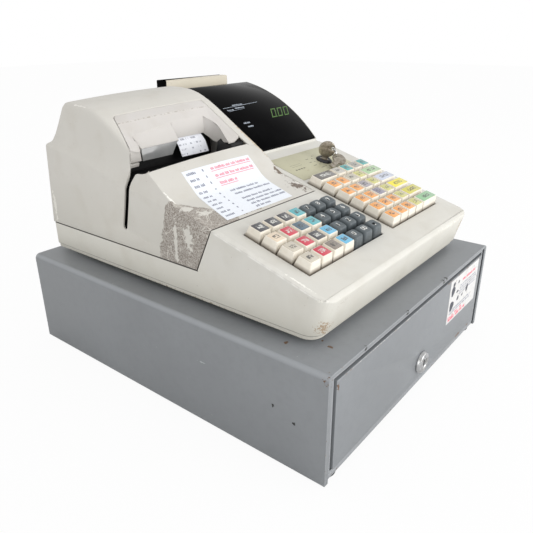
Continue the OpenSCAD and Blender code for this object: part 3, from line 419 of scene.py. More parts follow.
nylon = moulded("roller_nylon", (222, 221, 212), 0.4)
dressed("tray_rollers", nylon, 0.0005)
dressed("frame_rollers", nylon, 0.0005)
rubber_and_keyway_shade = moulded("foot_rubber", (26, 26, 27), 0.75, 0.4, 0.3)
dressed("drawer_feet", rubber_and_keyway_shade, 0.0007)

# ---------------------------------------------------------------- drawer lock
# Turned brass ring and barrel with bright chrome, and the cylinder with its upright key slot.
chrome, tree, shader, at = material("lock_chrome", 0.12, metal=1.0)
smear = clouds(tree, at, 160.0, 0.4, 0.75)
tree.links.new(blend_colour(tree, smear, shade((205, 206, 208)), shade((165, 164, 160))), shader.inputs["Base Color"])
tree.links.new(remap(tree, smear, 0.0, 1.0, 0.1, 0.3), shader.inputs["Roughness"])
dressed("lock_body", chrome, 0.0004, 30, smooth=25)
dressed("lock_cylinder", chrome, 0.0002, 30)
# Painted shade: a thin near-black slab on the cylinder's face stands for the shade in the upright key slot
keyway = bmesh.new()
stadium = [(0.0015 * math.cos(a) + 0.005, 0.033 + 0.0015 * math.sin(a) + (0.0023 if a < math.pi else -0.0023))
           for a in (math.tau * (k + 0.5) / 16 for k in range(16))]
ends = [[keyway.verts.new((x, y, z)) for x, z in stadium] for y in (-0.21408, -0.2100)]
keyway.faces.new(ends[0])
keyway.faces.new(ends[1][::-1])
for k in range(16):
    keyway.faces.new((ends[0][k], ends[1][k], ends[1][(k + 1) % 16], ends[0][(k + 1) % 16]))
bmesh.ops.recalc_face_normals(keyway, faces=keyway.faces)
keyway_shade_mesh = bpy.data.meshes.new("lock_keyway")
keyway.to_mesh(keyway_shade_mesh)
keyway.free()
settle("lock_keyway", keyway_shade_mesh, rubber_and_keyway_shade, body_of["lock_cylinder"])

# ---------------------------------------------------------------- till insert
# One black moulding that lies in the tray: two rows of coin cups and the note bays behind them,
# with sprung clips on a bar across the bays.
black = moulded("till_black", (38, 38, 40), 0.48, 0.35, 0.25)
dressed("till_insert", black, 0.0006)
dressed("note_clips", black, 0.0004)
dressed("take_up_spool", black, 0.0003)
dressed("printer_unit", black, 0.0005)
dressed("keyboard_base", black, 0)
iron = moulded("varnished_iron", (84, 78, 72), 0.4, 0.3, 0.15)
dressed("solenoid", iron, 0.0004)
dressed("transformer", iron, 0.0006)
dark_trim = moulded("dark_trim", (22, 22, 24), 0.42, 0.2, 0.3)
dressed("cord_gland", dark_trim, 0.0005)

# ---------------------------------------------------------------- circuit boards
# Green boards with dark chip packages, on posts in the case and behind the display.
made, tree, shader, at = material("solder_mask", 0.3, coat=0.3)
track = wire(tree, "ShaderNodeTexBrick", Vector=at, Scale=140.0).outputs["Fac"]
dots = clouds(tree, at, 500.0, 0.58, 0.62)
first = blend_colour(tree, track, shade((24, 92, 60)), shade((34, 112, 74)))
tree.links.new(blend_colour(tree, dots, first, shade((176, 172, 150))), shader.inputs["Base Color"])
dressed("main_board", made, 0.0003)
dressed("display_board", made, 0.0002)


# ---------------------------------------------------------------- case mouldings
# Two grey-white ABS mouldings, 2.5 mm thick: a shallow base on round pads, and the top case with
# deck, walls and display hump. The plastic is darker and yellower low down and is scuffed on its corners.
def case_plastic(name, upper, lower, z_low, z_high):
    """Spark-eroded ABS, darker and yellower towards its lower edge, with scuffs, specks and grime"""
    made, tree, shader, at = material(name, 0.46)
    height = wire(tree, "ShaderNodeSeparateXYZ", at).outputs[2]
    lower_tone = remap(tree, height, z_low, z_high)
    tone = clouds(tree, at, 7.0, 0.3, 0.72)
    colour = blend_colour(tree, lower_tone, shade(lower), shade(upper))
    soft = calc(tree, "MULTIPLY", tone, 0.35)
    colour = blend_colour(tree, soft, colour, shade([c * 0.95 for c in lower]))
    grime = clouds(tree, at, 36.0, 0.5, 0.85)
    grime = calc(tree, "MULTIPLY", grime, 0.22)
    colour = blend_colour(tree, grime, colour, shade((168, 158, 138)))
    specks = clouds(tree, at, 520.0, 0.735, 0.75)
    specks = calc(tree, "MULTIPLY", specks, 0.7)
    colour = blend_colour(tree, specks, colour, shade((120, 106, 88)))
    tree.links.new(remap(tree, tone, 0.0, 1.0, 0.42, 0.54), shader.inputs["Roughness"])
    roughen(tree, shader, at, 1700.0, 0.16)
    return made, tree, shader, at, colour


case_mat, tree, shader, at, colour = case_plastic("case_abs", (213, 211, 204), (208, 205, 194), 0.118, 0.165)
# Painted highlights: the pale tints are light lines along the left and front crests of the deck. Painted shade: the
# grey-brown band low on the left is shade under the top case
for centre, reach, tint, share in (
    ((-0.1515, -0.155, 0.1693), (0.0014, 0.024, 0.008), (238, 236, 229), 0.5),
    ((-0.1545, -0.178, 0.160), (0.0014, 0.010, 0.0016), (228, 225, 216), 0.5),
    ((-0.149, -0.184, 0.132), (0.018, 0.014, 0.012), (172, 152, 128), 0.60),
    ((-0.130, -0.189, 0.146), (0.030, 0.004, 0.016), (160, 146, 124), 0.66),
    ((0.100, -0.186, 0.156), (0.05, 0.006, 0.004), (225, 222, 212), 0.55),
    ((0.146, -0.186, 0.146), (0.016, 0.012, 0.016), (176, 160, 136), 0.6),
    ((-0.145, -0.02, 0.119), (0.02, 0.15, 0.003), (150, 140, 122), 0.55),
):
    colour = blend_colour(tree, spot(tree, at, centre, reach, 480.0, share), colour, shade(tint))
# Painted highlight: a pale broken line along the crest between the left wall and the deck
x, y, z = wire(tree, "ShaderNodeSeparateXYZ", at).outputs
crest = calc(tree, "ADD", calc(tree, "MULTIPLY", y, -0.2849), z)
crest = calc(tree, "ABSOLUTE", calc(tree, "SUBTRACT", crest, 0.2128))
crest = remap(tree, crest, 0.0003, 0.0016, 0.7, 0.0)
at_side = remap(tree, x, -0.1512, -0.1500, 1.0, 0.0)
crest = calc(tree, "MULTIPLY", crest, at_side)
highlight_breaks = clouds(tree, at, 120.0, 0.35, 0.6)
crest = calc(tree, "MULTIPLY", crest, highlight_breaks)
colour = blend_colour(tree, crest, colour, shade((242, 240, 234)))
# Painted shade: a dark line along the seam between the top and bottom cases
parting_shade = calc(tree, "SUBTRACT", wire(tree, "ShaderNodeSeparateXYZ", at).outputs[2], 0.1241)
parting_shade = calc(tree, "ABSOLUTE", parting_shade)
parting_shade = remap(tree, parting_shade, 0.00045, 0.0008, 0.85, 0.0)
colour = blend_colour(tree, parting_shade, colour, shade((52, 48, 44)))


def seam_shade(tree, at, colour, level, width, share):
    """Painted shade: dark lines in the level seam of the left wall and in the leaning seam in front of the cover"""
    x, y, z = wire(tree, "ShaderNodeSeparateXYZ", at).outputs
    flat = calc(tree, "ABSOLUTE", calc(tree, "SUBTRACT", z, level))
    flat = remap(tree, flat, width, width * 1.5, share, 0.0)
    inside = remap(tree, y, -0.0445, -0.0435)
    flat = calc(tree, "MULTIPLY", flat, inside)
    lean = calc(tree, "MULTIPLY", calc(tree, "SUBTRACT", z, 0.151), 0.4677)
    lean = calc(tree, "ADD", calc(tree, "ADD", y, 0.0425), lean)
    lean = remap(tree, calc(tree, "ABSOLUTE", lean), width, width * 1.5, share, 0.0)
    above = remap(tree, z, 0.1500, 0.1504)
    before = remap(tree, x, 0.0122, 0.0128, 1.0, 0.0)
    lean = calc(tree, "MULTIPLY", calc(tree, "MULTIPLY", lean, above), before)
    outer = remap(tree, x, -0.1545, -0.1540, 1.0, 0.0)
    flat = calc(tree, "MULTIPLY", flat, outer)
    both = calc(tree, "MAXIMUM", flat, lean)
    return blend_colour(tree, both, colour, shade((46, 42, 38)))


tree.links.new(seam_shade(tree, at, colour, 0.1506, 0.00045, 0.9), shader.inputs["Base Color"])
dressed("top_case", case_mat, 0.0009, 24, smooth=45, rounds=3)
dressed("bottom_case", case_mat, 0.0005)


# ---------------------------------------------------------------- printer cover
# Lift-off ABS moulding over the printer: a ramp that steepens to the lip of the paper opening,
# a tall crowned back that steps in from the side wall over a ledge, and a slot down the wall.
# All its edges are generously rounded; the paper opening is framed by a lower inner edge.
CASE_FRONT = -0.190
DRAWER_TOP, SLOPE = 0.114, math.radians(15.9)


def along(table, d):
    """Straight-line reading of a list of pairs"""
    if d <= table[0][0]:
        return table[0][1]
    for (a, u), (b, v) in zip(table, table[1:]):
        if d <= b:
            return u + (v - u) * (d - a) / (b - a)
    return table[-1][1]


def deck_height(d):
    """Height of the deck over the drawer in mm, d mm behind the front of the case"""
    return 45.9 + d * math.tan(SLOPE)


def eased(table, d, reach=6.0):
    """The same reading, with its corners rounded"""
    return sum(along(table, d + k * reach / 3) * w for k, w in ((-3, 1), (-2, 2), (-1, 3), (0, 4), (1, 3), (2, 2), (3, 1))) / 16


ramp_start, cover_top = deck_height(166), 182.5
rise = [(0, -deck_height(166) + deck_height(0)), (166, 0)] + [(d, s * (cover_top - ramp_start)) for d, s in (
    (176, 0.05), (186, 0.149), (198, 0.261), (216, 0.39), (235, 0.52), (254, 0.657), (271, 0.776),
    (285, 0.865), (300, 0.939), (314, 0.98), (330, 0.998), (350, 1), (400, 1))]
crease = [(120, -18), (176, -2.5), (236, 9), (249, 9), (284, 20), (317, 28), (353, 33), (381, 37.5)]


def cover_surface(x, y):
    """Height of the cover's upper face in metres, in the row frame, at a place in metres"""
    d = (y - CASE_FRONT) * 1000
    fall = 6 * min(max((d - 166) / 28, 0), 1)
    drop = fall * ((12 - x * 1000) / 162) ** 2
    return (ramp_start + eased(rise, d, 5) - drop) / 1000 + DRAWER_TOP


def rounded(points, radii, steps):
    """A line with its corners turned into arcs of a fixed number of points"""
    made = [points[0]]
    for k in range(1, len(points) - 1):
        p, q, s = (Vector(points[i]) for i in (k - 1, k, k + 1))
        a, b = (p - q), (s - q)
        reach = min(radii[k - 1], a.length * 0.45, b.length * 0.45)
        a, b = q + a.normalized() * reach, q + b.normalized() * reach
        for i in range(steps + 1):
            t = i / steps
            made.append(tuple(a * (1 - t) ** 2 + q * 2 * t * (1 - t) + b * t * t))
    return made + [points[-1]]


def cover_section(d, inset, low_edge):
    """One cut across the cover, right to left, as x and z in mm"""
    tall = min(max((d - 226) / 14, 0), 1)
    tall = tall * tall * (3 - 2 * tall)
    fall = 6 * min(max((d - 166) / 28, 0), 1)
    back = max(d - 352, 0) / 29.0
    top = ramp_start + eased(rise, d, 5)
    low = ramp_start + min(eased(crease, min(d, 381), 7), eased(rise, d, 5) - 3)
    foot = low + 1 + tall * max(31.5 + (d - 247) * 0.089 - (low - ramp_start) - 1, 0.5)
    side = top - fall
    if back > 0:
        end = ramp_start + 37.5
        top, side = top + (end + 5 - top) * back, side + (end + 3 - side) * back
        foot = foot + (end + 2 - foot) * back
    top, low, foot, side = (v - inset for v in (top, low, foot, side))
    side = max(side, foot + 0.8)
    right, left = 12 - inset, -156.5 + inset
    crest = left + along([(166, 1.2), (176, 1.4), (190, 2.9), (213.5, 5.6), (226, 6.4)], d) + tall * 4.1
    base = left + 0.35 + tall * 7.65
    crown = [(right + (crest - right) * t, top + (side - top) * t * t) for t in [i / 12 for i in range(1, 12)]]
    points = [(right, low_edge), (right, top)] + crown + [(crest, side), (base, foot), (left, low), (left, low_edge)]
    corner = max(1.0 - inset * 0.2, 0.4)
    radii = [3.0 * corner] + [0.6] * 11 + [(1.1 + 5.9 * tall) * corner, (1 + 6 * tall) * corner, 3.0 * corner]
    return rounded(points, radii, 4)


def closed_mesh(name, verts, faces):
    """A closed mesh whose faces all look outwards"""
    mesh = bpy.data.meshes.new(name)
    mesh.from_pydata(verts, [], faces)
    bm = bmesh.new()
    bm.from_mesh(mesh)
    bmesh.ops.recalc_face_normals(bm, faces=bm.faces)
    bm.to_mesh(mesh)
    bm.free()
    return mesh


def cover_body(inset, low_edge, name):
    """Closed skin through all the cuts, its front end leaning with the seam"""
    front = 126.5 + inset
    stops = [front + (160 - front) * t / 12 for t in range(12)] + [160 + 2.5 * k for k in range(0, 77)]
    stops = stops + [354, 359, 366, 374, 381 - inset * 0.5]
    meet = deck_height(126.5)
    rows = []
    for d in stops:
        lean = 21 * max(1 - (d - front) / (160 - front), 0)
        rows.append([])
        for x, z in cover_section(d, inset, low_edge):
            y = d + lean * min(max((meet - z) / (meet - 37), 0), 1.05)
            if d > 352:
                share = (d - 352) / 29
                y += share * share * 9.0 * min(max((ramp_start + 37.5 - z) / (ramp_start - 3), -0.05), 1.02)
            rows[-1].append((x / 1000, CASE_FRONT + y / 1000, DRAWER_TOP + z / 1000))
    count = len(rows[0])
    faces = []
    for j in range(len(rows) - 1):
        for i in range(count):
            k = (i + 1) % count
            faces.append((j * count + i, (j + 1) * count + i, (j + 1) * count + k, j * count + k))
    faces.append(tuple(range(count)))
    faces.append(tuple((len(rows) - 1) * count + i for i in range(count - 1, -1, -1)))
    mesh = closed_mesh(name, [p for r in rows for p in r], faces)
    return mesh


def prism(name, outline, low, high, axis):
    """A straight prism along X or Z, as a cutter"""
    count = len(outline)
    if axis == "Z":
        verts = [(x, y, low) for x, y in outline] + [(x, y, high) for x, y in outline]
    else:
        verts = [(low, y, z) for y, z in outline] + [(high, y, z) for y, z in outline]
    faces = [tuple(range(count)), tuple(range(2 * count - 1, count - 1, -1))]
    faces += [(i, (i + 1) % count, count + (i + 1) % count, count + i) for i in range(count)]
    mesh = closed_mesh(name, verts, faces)
    return mesh


def carved(mesh, *cutters):
    """The mesh with each cutter taken out of it"""
    block = bpy.data.objects.new("carving", mesh)
    bpy.context.scene.collection.objects.link(block)
    tools = []
    for cutter in cutters:
        tool = bpy.data.objects.new("cutter", cutter)
        bpy.context.scene.collection.objects.link(tool)
        tools.append(tool)
        step = block.modifiers.new("cut", "BOOLEAN")
        step.operation = "DIFFERENCE"
        step.solver = "EXACT"
        step.object = tool
    result = bpy.data.meshes.new_from_object(block.evaluated_get(bpy.context.evaluated_depsgraph_get()))
    for tool in tools + [block]:
        bpy.data.objects.remove(tool)
    return result


def broken_edges(mesh, edge, corner=32, rounds=2):
    """Breaks the sharp edges of a mesh in place"""
    bm = bmesh.new()
    bm.from_mesh(mesh)
    bmesh.ops.remove_doubles(bm, verts=bm.verts, dist=0.000004)
    bmesh.ops.dissolve_limit(bm, angle_limit=math.radians(0.2), verts=bm.verts, edges=bm.edges)
    sharp = [e for e in bm.edges if len(e.link_faces) == 2 and e.calc_face_angle(0) > math.radians(corner)]
    bmesh.ops.bevel(bm, geom=sharp, offset=edge, offset_type="OFFSET", segments=rounds,
                    profile=0.5, affect="EDGES", clamp_overlap=False)
    bm.to_mesh(mesh)
    bm.free()
    return mesh


def mm(*points):
    return [tuple(c / 1000 for c in p) for p in points]


brow_y, opening_right, opening_left = 96.5, -1, -132
cover_mesh = carved(
    cover_body(0, 37, "cover_outside"),
    cover_body(2.5, 36, "cover_inside"),
    prism("paper_opening", mm((opening_right, brow_y), (opening_left + 3, brow_y), (opening_left, brow_y - 3),
                              (-146, 54), (-149.5, 52.8), (-149.5, 24.3), (opening_right, 23.6)), 0.174, 0.32, "Z"),
    prism("wall_slot", mm((23.9, 315), (23.9, 235.2), (27, 233.4), (33, 231.8), (39.4, 231.3), (42.2, 230.2),
                          (44.3, 227.2), (46.9, 222.1), (51, 202.3), (57.6, 174.8), (58.4, 172.2), (59.7, 170.7),
                          (61.3, 170.1), (62.9, 170.6), (64.1, 172.0), (64.4, 174.2), (59.8, 192.5), (56.4, 208),
                          (54, 221), (52.9, 227), (52.9, 315)), -0.165, -0.1488, "X"),
    prism("cover_seam", mm((-0.9, 22.5), (-0.9, 21.9), (13, 19.6), (13, 20.2)), 0.2365, 0.32, "Z"),
)
broken_edges(cover_mesh, 0.0007, 34)
cover_mat, tree, shader, at, colour = case_plastic("cover_abs", (209, 206, 199), (202, 199, 190), 0.150, 0.215)
# Painted highlights: the pale tints in this list are light lines along the cover's crests and edges
for centre, reach, tint, share in (
    ((-0.147, 0.085, 0.2785), (0.0016, 0.020, 0.0022), (236, 233, 226), 0.5),
    ((-0.144, 0.122, 0.2895), (0.0014, 0.022, 0.0018), (236, 233, 226), 0.5),
    ((0.009, -0.014, 0.212), (0.009, 0.018, 0.012), (112, 98, 84), 0.585),
    ((-0.152, -0.012, 0.2115), (0.0013, 0.028, 0.016), (238, 236, 230), 0.5),
    ((0.0095, -0.042, 0.201), (0.006, 0.010, 0.004), (236, 233, 226), 0.52),
    ((0.002, -0.046, 0.200), (0.015, 0.020, 0.012), (108, 94, 82), 0.585),
    ((0.010, 0.03, 0.243), (0.003, 0.05, 0.02), (196, 184, 164), 0.44),
    ((-0.156, 0.191, 0.17), (0.0016, 0.003, 0.03), (228, 225, 216), 0.5),
    ((-0.100, -0.058, 0.198), (0.06, 0.004, 0.003), (122, 108, 88), 0.62),
    ((-0.148, 0.03, 0.236), (0.01, 0.006, 0.004), (150, 138, 118), 0.6),
):
    colour = blend_colour(tree, spot(tree, at, centre, reach, 260.0, share), colour, shade(tint))
# Gum and dust that an old strip of tape left round the front left corner
place = wire(tree, "ShaderNodeSeparateXYZ", at).outputs
wander = wire(tree, "ShaderNodeTexNoise", Vector=at, Scale=150.0, Detail=5.0).outputs[0]
wander = calc(tree, "SUBTRACT", wander, 0.5)
wander = calc(tree, "MULTIPLY", wander, 0.012)
slanted = calc(tree, "SUBTRACT", place[2], 0.20)
slanted = calc(tree, "MULTIPLY", slanted, -0.27)
back_line = calc(tree, "ADD", slanted, -0.0035)
over = calc(tree, "ADD", place[0], 0.1565)
over = calc(tree, "MULTIPLY", over, 1.15)
back_line = calc(tree, "SUBTRACT", back_line, over)
behind = calc(tree, "SUBTRACT", place[1], back_line)
behind = calc(tree, "ADD", behind, wander)
behind = remap(tree, behind, 0.0, 0.0012, 1.0, 0.0)
beside = calc(tree, "ADD", place[0], wander)
beside = remap(tree, beside, -0.1165, -0.115, 1.0, 0.0)
gum = calc(tree, "MULTIPLY", behind, beside)
speckle = clouds(tree, at, 1300.0, 0.42, 0.56)
gum_colour = blend_colour(tree, speckle, shade((190, 184, 176)), shade((126, 117, 108)))
for centre, reach, share in (
    ((-0.157, -0.016, 0.172), (0.004, 0.0024, 0.024), 0.45), ((-0.157, -0.034, 0.182), (0.004, 0.006, 0.013), 0.45),
    ((-0.150, -0.026, 0.204), (0.007, 0.006, 0.008), 0.5), ((-0.138, -0.039, 0.203), (0.010, 0.005, 0.006), 0.5),
):
    gum_colour = blend_colour(tree, spot(tree, at, centre, reach, 200.0, share), gum_colour, shade((208, 205, 197)))
torn = clouds(tree, at, 75.0, 0.61, 0.64)
torn = calc(tree, "MULTIPLY", torn, 0.5)
gum_colour = blend_colour(tree, torn, gum_colour, shade((200, 195, 185)))
strip = wire(tree, "ShaderNodeTexNoise", Vector=at, Scale=48.0, Detail=2.0, Distortion=0.8).outputs[0]
strip = calc(tree, "SUBTRACT", strip, 0.5)
strip = calc(tree, "ABSOLUTE", strip)
strip = remap(tree, strip, 0.006, 0.011, 0.7, 0.0)
gum_colour = blend_colour(tree, strip, gum_colour, shade((214, 210, 201)))
# The gum patch, then painted shade as dark lines in the cover's seams
colour = seam_shade(tree, at, blend_colour(tree, gum, colour, gum_colour), 0.1510, 0.00045, 0.9)
tree.links.new(colour, shader.inputs["Base Color"])
settle("printer_cover_piece", cover_mesh, cover_mat, "printer_cover", ("printer_cover",), 38)

# ---------------------------------------------------------------- paper frame and windows
# Moulding that fills the upper part of the opening. Its face dips from the opening's edge to the
# hood of the smoked window at the left and to the receipt's recess at the right, and ends in a
# leg at the left and a curved guide at the right. The receipt hangs out below the recess.
frame_mat, tree, shader, at, colour = case_plastic("paper_frame_abs", (208, 204, 200), (196, 192, 186), 0.235, 0.262)
# Painted shade: a dark broken line along the small step in the frame's face
place = wire(tree, "ShaderNodeSeparateXYZ", at).outputs
line = calc(tree, "SUBTRACT", place[1], 0.0852)
line = calc(tree, "ABSOLUTE", line)
line = remap(tree, line, 0.0001, 0.0007, 0.55, 0.0)
breaks = clouds(tree, at, 260.0, 0.46, 0.62)
line = calc(tree, "MULTIPLY", line, breaks)
tree.links.new(blend_colour(tree, line, colour, shade((126, 112, 96))), shader.inputs["Base Color"])


def frame_face(x, y):
    """Height of the frame's face in mm, in the row frame, at a place in mm"""
    edge = opening_left - 14 * max(93.5 - y, 0) / 39.5
    dip = 0.45 if y > 85.3 else 0.9 + 3.6 * min((85.1 - y) / 10, 1) ** 0.8
    dip = 0.45 + (dip - 0.45) * min(max((x - edge) / 9, 0), 1) * min(max((-1.2 - x) / 8, 0), 1)
    return cover_surface(x / 1000, y / 1000) * 1000 - dip


def sheet(name, columns, rows, height, thick):
    """A closed slab whose face follows a height function over a grid, in mm"""
    verts, faces = [], []
    for drop in (0, thick):
        verts += [(x / 1000, y / 1000, (height(x, y) - drop) / 1000) for y in rows for x in columns]
    nx, ny = len(columns), len(rows)
    size = nx * ny
    for j in range(ny - 1):
        for i in range(nx - 1):
            k = j * nx + i
            faces.append((k, k + 1, k + nx + 1, k + nx))
            faces.append((size + k, size + k + nx, size + k + nx + 1, size + k + 1))
    border = [i for i in range(nx)] + [j * nx + nx - 1 for j in range(1, ny)]
    border += [(ny - 1) * nx + i for i in range(nx - 2, -1, -1)] + [j * nx for j in range(ny - 2, 0, -1)]
    for a, b in zip(border, border[1:] + border[:1]):
        faces.append((b, a, size + a, size + b))
    mesh = closed_mesh(name, verts, faces)
    return mesh


def block_of(name, front, back, edge=0.0004):
    """A block between two outlines with the same number of corners, in mm, edges broken"""
    count = len(front)
    verts = [tuple(c / 1000 for c in p) for p in list(front) + list(back)]
    faces = [tuple(range(count)), tuple(range(2 * count - 1, count - 1, -1))]
    faces += [(i, (i + 1) % count, count + (i + 1) % count, count + i) for i in range(count)]
    mesh = bpy.data.meshes.new(name)
    mesh.from_pydata(verts, [], faces)
    bm = bmesh.new()
    bm.from_mesh(mesh)
    bmesh.ops.recalc_face_normals(bm, faces=bm.faces)
    if edge:
        stand = [e for e in bm.edges if e.calc_face_angle(0) > math.radians(18)]
        bmesh.ops.bevel(bm, geom=stand, offset=edge, offset_type="OFFSET", segments=2, profile=0.5, affect="EDGES")
    bm.to_mesh(mesh)
    bm.free()
    return mesh


columns = [-146.4 + 145.2 * i / 72 for i in range(73)]
rows = [36.5] + [38 + 1.5 * k for k in range(25)] + [75.5, 77, 79, 81, 83, 84.4, 85.1, 85.35, 86.5, 89, 92, 94.5, 96.2]
guide = [(-18.6, 77.2), (-14.6, 72.5), (-11.6, 67.5), (-10.5, 62.5), (-11.4, 57), (-13.6, 51), (-16.2, 45), (-18.9, 39)]
face_mesh = carved(
    sheet("frame_face", columns, rows, frame_face, 2.5),
    prism("frame_gap", mm(*([(-132.6, 30), (-132.6, 54.5), (-127.6, 72.3), (-70.6, 76.0), (-67.2, 77.2)] + guide + [(-19.6, 30)])), 0.2, 0.32, "Z"),
    prism("frame_left", mm((-170, 100), (-128.6, 100), (-128.6, 96.0), (-131.5, 93.2), (-145.3, 54.4), (-132, 54.4), (-132, 30), (-170, 30)), 0.2, 0.32, "Z"),
)
broken_edges(face_mesh, 0.0005, 34)
settle("cutter_cover_piece", face_mesh, frame_mat, "printer_cover", ("cutter_cover",), 36)
hood_left, hood_right = frame_face(-127.8, 72.2) - 0.2, frame_face(-70.6, 75.8) - 0.2
hood = block_of("window_hood", [(-127.6, 72.4, hood_left), (-70.0, 76.1, hood_right), (-68.2, 66.0, 249.6), (-121.6, 66.0, 248.3)],
                [(-127.6, 76.0, hood_left - 0.5), (-70.0, 80.0, hood_right), (-68.2, 69.5, 247.5), (-121.6, 69.5, 246.2)], 0.0006)
settle("window_hood", hood, frame_mat, "printer_cover", smooth=30)
leg = block_of("frame_leg", [(-145.4, 54.8, 252.6), (-132.3, 55.4, 250.1), (-129.4, 57.6, 237.7), (-145.6, 57.4, 238.0)],
               [(-145.4, 70, 259), (-121.9, 71.5, 256.5), (-121.2, 69.5, 238), (-142.6, 70, 238)], 0.0009)
settle("frame_leg", leg, frame_mat, "printer_cover", smooth=30)
tab = block_of("frame_tab", [(-145.4, 56.6, 237.2), (-131.5, 58.6, 236.6), (-131.0, 60.6, 232.4), (-144.4, 57.0, 233.0)],
               [(-142.0, 66, 237.6), (-130.2, 66, 237.0), (-130.2, 66, 232.4), (-142.0, 66, 233.0)], 0.0005)
settle("frame_tab", tab, frame_mat, "printer_cover", smooth=30)
wall_left, wall_right = frame_face(-67.2, 77.2) - 0.3, frame_face(-18.6, 77.2) - 0.3
recess = block_of("recess_wall", [(-68.4, 76.9, wall_left), (-17.6, 77.1, wall_right), (-18.4, 75.4, 250.3), (-68.4, 75.2, 249.9)],
                  [(-68.4, 79.4, wall_left), (-17.6, 79.4, wall_right), (-18.4, 77.9, 249.9), (-68.4, 77.7, 249.5)])
settle("recess_wall", recess, frame_mat, "printer_cover", smooth=30)
low_line = [(77.2, 249.6), (67.5, 240.2), (62.5, 239.2), (51, 240.6), (39, 242.6)]
verts, faces = [], []
for x, y in guide:
    top, low = frame_face(x, y) - 0.2, along(sorted(low_line), y)
    verts += [(x / 1000, y / 1000, top / 1000), (x / 1000, y / 1000, low / 1000),
              ((x + 2.2) / 1000, y / 1000, low / 1000), ((x + 2.2) / 1000, y / 1000, top / 1000)]
for k in range(len(guide) - 1):
    faces += [(4 * k + i, 4 * k + (i + 1) % 4, 4 * k + 4 + (i + 1) % 4, 4 * k + 4 + i) for i in range(4)]
faces += [(3, 2, 1, 0), tuple(4 * (len(guide) - 1) + i for i in range(4))]
cheek = closed_mesh("receipt_guide", verts, faces)
settle("receipt_guide", cheek, frame_mat, "printer_cover", smooth=50)
# Near-black plates inside the printer for the shade seen between the frame and the lip, with a raised right end:
# painted shade
inner_shade_black = moulded("inner_shade_black", (10, 10, 11), 0.6, 0.2, 0.2)
bed = block_of("printer_bed", [(-148.5, 27.5, 221), (-3, 27.5, 221), (-3, 27.5, 223), (-148.5, 27.5, 223)],
               [(-148.5, 79, 221), (-3, 79, 221), (-3, 79, 223), (-148.5, 79, 223)])
settle("printer_bed", bed, inner_shade_black, "register", smooth=30)
bed = block_of("printer_bed_back", [(-146, 78, 223), (-6, 78, 223), (-6, 79.5, 250), (-146, 79.5, 250)],
               [(-146, 80, 223), (-6, 80, 223), (-6, 81.5, 250), (-146, 81.5, 250)])
settle("printer_bed_back", bed, inner_shade_black, "register", smooth=30)
bed = block_of("printer_bed_end", [(-17.5, 28.5, 223), (-1.4, 28.5, 223), (-1.4, 29.5, 241.5), (-17.5, 34.0, 240.2)],
               [(-17.5, 60, 223), (-1.4, 60, 223), (-1.4, 54, 250.5), (-17.5, 56, 242.0)], 0.0006)
settle("printer_bed_end", bed, inner_shade_black, "register", smooth=30)
smoke, tree, shader, at = material("smoked_window", 0.16, coat=0.4)
haze = clouds(tree, at, 70.0, 0.3, 0.75)
tree.links.new(blend_colour(tree, haze, shade((132, 133, 133)), shade((152, 152, 150))), shader.inputs["Base Color"])
glass = block_of("window_glass", [(-121.4, 66.6, 249.2), (-68.6, 66.6, 250.2), (-79.6, 65.4, 235.6), (-121.4, 65.4, 235.4)],
                 [(-121.4, 68.2, 249.2), (-68.6, 68.2, 250.2), (-79.6, 67.0, 235.6), (-121.4, 67.0, 235.4)], 0.0003)
settle("journal_window_piece", glass, smoke, "printer_cover", ("journal_window",), smooth=30)


def sheet_paper(name, colour):
    """Uncoated paper with fibres"""
    made, tree, shader, at = material(name, 0.82)
    fibre = clouds(tree, at, 900.0, 0.35, 0.7)
    base = blend_colour(tree, fibre, shade(colour), shade([c * 0.965 for c in colour]))
    roughen(tree, shader, at, 1200.0, 0.1)
    return made, tree, shader, at, base


roll_mat, tree, shader, at, colour = sheet_paper("roll_paper", (240, 241, 243))
turns = wire(tree, "ShaderNodeTexNoise", Vector=at, Scale=2400.0).outputs[0]
tree.links.new(blend_colour(tree, turns, colour, shade((214, 214, 214))), shader.inputs["Base Color"])
dressed("receipt_roll", roll_mat, 0.0004)
dressed("journal_roll", roll_mat, 0.0004)
# The printed receipt: thermal paper with faint rows of grey bars across it
receipt_mat, tree, shader, at, colour = sheet_paper("receipt_paper", (236, 238, 244))
place = wire(tree, "ShaderNodeSeparateXYZ", at).outputs
row_wave = calc(tree, "MULTIPLY", place[2], 1250.0)
row_wave = calc(tree, "SINE", row_wave)
row_wave = remap(tree, row_wave, 0.35, 0.6)
stretch = wire(tree, "ShaderNodeVectorMath", at, (1.0, 0.2, 0.25), op="MULTIPLY").outputs[0]
letters = clouds(tree, stretch, 330.0, 0.5, 0.56)
rows_mask = calc(tree, "MULTIPLY", row_wave, letters)
rows_mask = calc(tree, "MULTIPLY", rows_mask, 0.6)
tree.links.new(blend_colour(tree, rows_mask, colour, shade((96, 98, 118))), shader.inputs["Base Color"])
profile = [(80.6, 262.0), (79.8, 256.0), (77.0, 249.6), (73.4, 246.4), (70.0, 242.6), (68.0, 238.0), (66.2, 234.0), (64.9, 230.6)]
verts = [(x / 1000, (y + t * 0.13) / 1000, (z + t * 0.06) / 1000) for y, z in profile for x, t in ((-66, 0), (-23, 0), (-23, 1), (-66, 1))]
faces = [(4 * k + i, 4 * k + (i + 1) % 4, 4 * k + 4 + (i + 1) % 4, 4 * k + 4 + i) for k in range(len(profile) - 1) for i in range(4)]
faces += [(3, 2, 1, 0), tuple(4 * (len(profile) - 1) + i for i in range(4))]
strip_mesh = closed_mesh("receipt_strip", verts, faces)
settle("receipt_paper_piece", strip_mesh, receipt_mat, "register", ("receipt_paper",), smooth=50)

